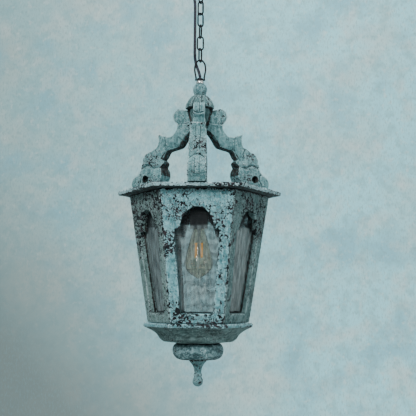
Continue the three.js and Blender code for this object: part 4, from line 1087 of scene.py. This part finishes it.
# ---------------------------------------------------------------- lampholder
# A moulded phenolic holder on the foot of the lamp tube: cap and shell screw together with
# a milled edge, round the porcelain socket that takes the bulb.
z0, z1 = heights("lampholder_cap")
cap = turned("holder_cap", [(tube_r, z1), (8.4, z1)] + eased([
    (8.7, z1 - 0.4), (8.8, z1 - 4), (9.2, z1 - 7.4), (12.6, z1 - 9.6), (17, z1 - 12.4),
    (19.6, z1 - 15), (20, z1 - 16.4)])
    + [(20, z0), (18.4, z0), (18.4, z0 + 2.7), (14.4, z0 + 6.9), (tube_r, z0 + 9.1),
       (tube_r, z1)], 96)
carve(cap, lambda place, normal: 0.5 * (np.hypot(place[:, 0], place[:, 1]) > 19.8)
      * (np.arange(len(place)) % 2))
finish(cap, black_bakelite, "lantern", "lampholder_cap", 40)
z0, z1 = heights("lampholder_shell")
shell = turned("holder_shell", [
    (18.4, z1), (20, z1), (20, z1 - 6), (19.3, z1 - 6.6), (19.3, z1 - 9), (20, z1 - 9.6),
    (20, z0 + 9), (19.8, z0 + 7.2), (19, z0 + 6), (14.4, z0 + 6), (14.4, z0 + 7),
    (18.4, z0 + 9), (18.4, z1)], 72)
finish(shell, black_bakelite, "lantern", "lampholder_shell", 40)
z0, z1 = heights("lampholder_socket")
socket = turned("holder_socket", [(0, z1), (18.1, z1), (18.1, z0), (13.6, z0), (13.6, z0 + 1),
                                  (13.5, z1 - 6), (0, z1 - 6)], 48)
porcelain = mottled("white_porcelain_socket", 130.0, 3.0, ("b9b7ae", "3d3f40"), (0.5, 0.75),
                    (0.28, 0.5))
finish(socket, porcelain, "lantern", "lampholder_socket", 40)


# ---------------------------------------------------------------- bulb
# A pear-shaped squirrel-cage lamp: tinted blown glass sealed to a nickel screw cap, with
# a glass stem and four upright amber filaments on a wire spider.
cap_low, bulb_top = heights("bulb_cap")
bulb_low = heights("bulb_glass")[0]
glass_thick = 0.9
thread = [(0, bulb_top), (3.6, bulb_top), (4.8, bulb_top - 0.6), (4.8, bulb_top - 1.2),
          (6.8, bulb_top - 3), (11, bulb_top - 4.6)]
for count in range(5):
    top = bulb_top - 5.4 - 3.4 * count
    thread += [(12.6, top), (13.2, top - 0.9), (12.6, top - 1.8), (12.1, top - 2.6)]
thread += [(12.9, cap_low + 2.6), (13.2, cap_low + 1), (13.2, cap_low), (12.55, cap_low),
           (12.55, bulb_top - 8), (0, bulb_top - 8)]
screw_cap = turned("screw_cap", thread, 56)
finish(screw_cap, nickel, "bulb", "bulb_cap", 50)
pear = eased([(12.3, bulb_top - 9), (12.4, cap_low), (14, cap_low - 8), (17.6, cap_low - 20),
              (22, cap_low - 36), (26.4, cap_low - 52), (30, cap_low - 68), (31.8, bulb_low + 37),
              (31.4, bulb_low + 29), (28, bulb_low + 20.5), (20.6, bulb_low + 12.4),
              (11, bulb_low + 5.4), (4, bulb_low + 1.2), (0, bulb_low)], 5)
inside = [(max(r - glass_thick, 0), z + (glass_thick if z < bulb_low + 20 else 0))
          for r, z in reversed(pear)]
glass_body = turned("pear_glass", pear + inside + [pear[0]], 72)


def blown_glass(name, tint):
    """Soda glass, blown, clear or tinted smoky amber: smooth, faintly uneven."""
    made, add, shader, place = new_material(name)
    ripple = add("TexNoise", {"Vector": place, "Scale": 60.0, "Detail": 2.0})
    plug(shader, {
        "Base Color": tint, "Transmission Weight": 1.0, "IOR": 1.5,
        "Roughness": add("MapRange", {0: ripple, 4: 0.05}),
        "Normal": add("Bump", {"Height": ripple, "Distance": 0.0006, "Strength": 0.5})})
    return made


finish(glass_body, blown_glass("tinted_blown_glass", "fbeedb"), "bulb", "bulb_glass",
       None)


def amber_phosphor(name):
    """Filament strips coated with amber phosphor, made to glow faintly though the lamp is off:
    painted light.
    """
    made, add, shader, place = new_material(name)
    grain = add("TexNoise", {"Vector": place, "Scale": 900.0, "Detail": 2.0})
    glow = add("Mix", {0: grain, 6: "dc9a22", 7: "f8c64a"}, data_type="RGBA")
    plug(shader, {"Base Color": glow, "Emission Color": glow, "Emission Strength": 0.8,
                  "Roughness": 0.6})
    return made


strand_low = heights("bulb_filament")[0]
strand_ends = (strand_low + 1, strand_low + 34)
ways = [math.radians(59 + 90 * i) for i in range(4)]
spread = 9.6
filaments = joined("amber_filaments", *[
    rounded_bar("filament", [(spread * math.cos(a), spread * math.sin(a), z)
                             for z in strand_ends], 1.25, 12) for a in ways])
finish(filaments, amber_phosphor("amber_phosphor"), "bulb", None, 40)
spider = [turned("glass_stem", eased([
    (0, bulb_top - 8.4), (9.6, bulb_top - 9), (9, bulb_top - 14), (5.4, bulb_top - 28),
    (3.2, bulb_top - 40), (2.2, strand_low + 36), (1.7, strand_low + 10),
    (0, strand_low + 6)]), 32)]
for a in ways:
    for z in strand_ends:
        spider.append(rounded_bar("lead", [
            (r * math.cos(a), r * math.sin(a), z + rise)
            for r, rise in ((1.2, 7), (spread * 0.6, 4), (spread, 0))], 0.3, 8))
leads = joined("stem_and_leads", *spider)
finish(leads, blown_glass("clear_stem_glass", "c9cdc8"), "bulb", "bulb_filament",
       40)


# ---------------------------------------------------------------- twin flex
# Flat black twin flex from the canopy, down beside the chain, in through the head and down
# the lamp tube. Made whole and then parted at the middle of each link.
route = [(-24, 0, -15.6), (-24, 0, -40.3), (-24, 0, -49.3), (-21, 0, -62.3), (-14.6, 0, -82.3),
         (-12.6, 0, -102.3), (-12.6, 0, -132.3), (-12.6, 0, -162.3), (-12.6, 0, -192.3),
         (-12.6, 1.5, -214.1), (-11.6, 5.2, -226.1), (-9.2, 5, -238.1), (-5, 2.6, -250.1),
         (-1.6, 0.6, -260.9), (0, 0, -267.9), (0, 0, -278.9), (0, 0, -403.8), (0, 0, -483.8),
         (0, 0, -572.1), (0, 0, -582.9)]
core_r, core_out = 1.75, 1.5
outline = []
for side, facing in ((-1, 180), (1, 0)):
    for angle in np.linspace(-135, 135, 9):
        a = math.radians(angle + facing)
        outline.append((side * core_out + core_r * math.cos(a), core_r * math.sin(a), 0))
section = drawn_curve("flex_section", outline, True)
section.data.dimensions = "2D"
flex = drawn_curve("twin_flex", eased(route, 5))
flex.data.bevel_mode = "OBJECT"
flex.data.bevel_object = section
flex.data.twist_mode = "MINIMUM"
pick(flex)
bpy.ops.object.convert(target="MESH")
flex = bpy.context.object
bpy.data.objects.remove(section)
# rubber sheath: black, soft satin, dusty, with a faint blue bloom
rubber = mottled("black_rubber_flex", 220.0, 4.0, ("0b0f19", "2a3347"), (0.45, 0.7),
                 (0.42, 0.62), gloss=0.3)
carriers = ["ceiling_fitting", "link_6", "link_5", "link_4", "link_3", "link_2", "link_1",
            "bail_loop", "lantern"]
pivots = [joint["pos_m"][2] / mm for joint in frame["joints"][:8]]
# parted halfway between the pivots, the last part ending well below the flex
ends = [0] + [(a + b) / 2 for a, b in zip(pivots, pivots[1:])] + [-600]
for i, (first, second) in enumerate(zip(carriers, carriers[1:])):
    part = copy_of(flex, f"twin_flex_{i + 1}")
    pick(part)
    bpy.ops.object.mode_set(mode="EDIT")
    for level, way in ((ends[i], 1), (ends[i + 1], -1)):
        bpy.ops.mesh.select_all(action="SELECT")
        bpy.ops.mesh.bisect(plane_co=(0, 0, level * mm), plane_no=(0, 0, way),
                            clear_outer=True, use_fill=True)
    bpy.ops.mesh.select_all(action="SELECT")
    bpy.ops.mesh.normals_make_consistent(inside=False)
    finish(part, rubber, None, "twin_cable", 40)
    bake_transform(part)
bpy.data.objects.remove(flex)
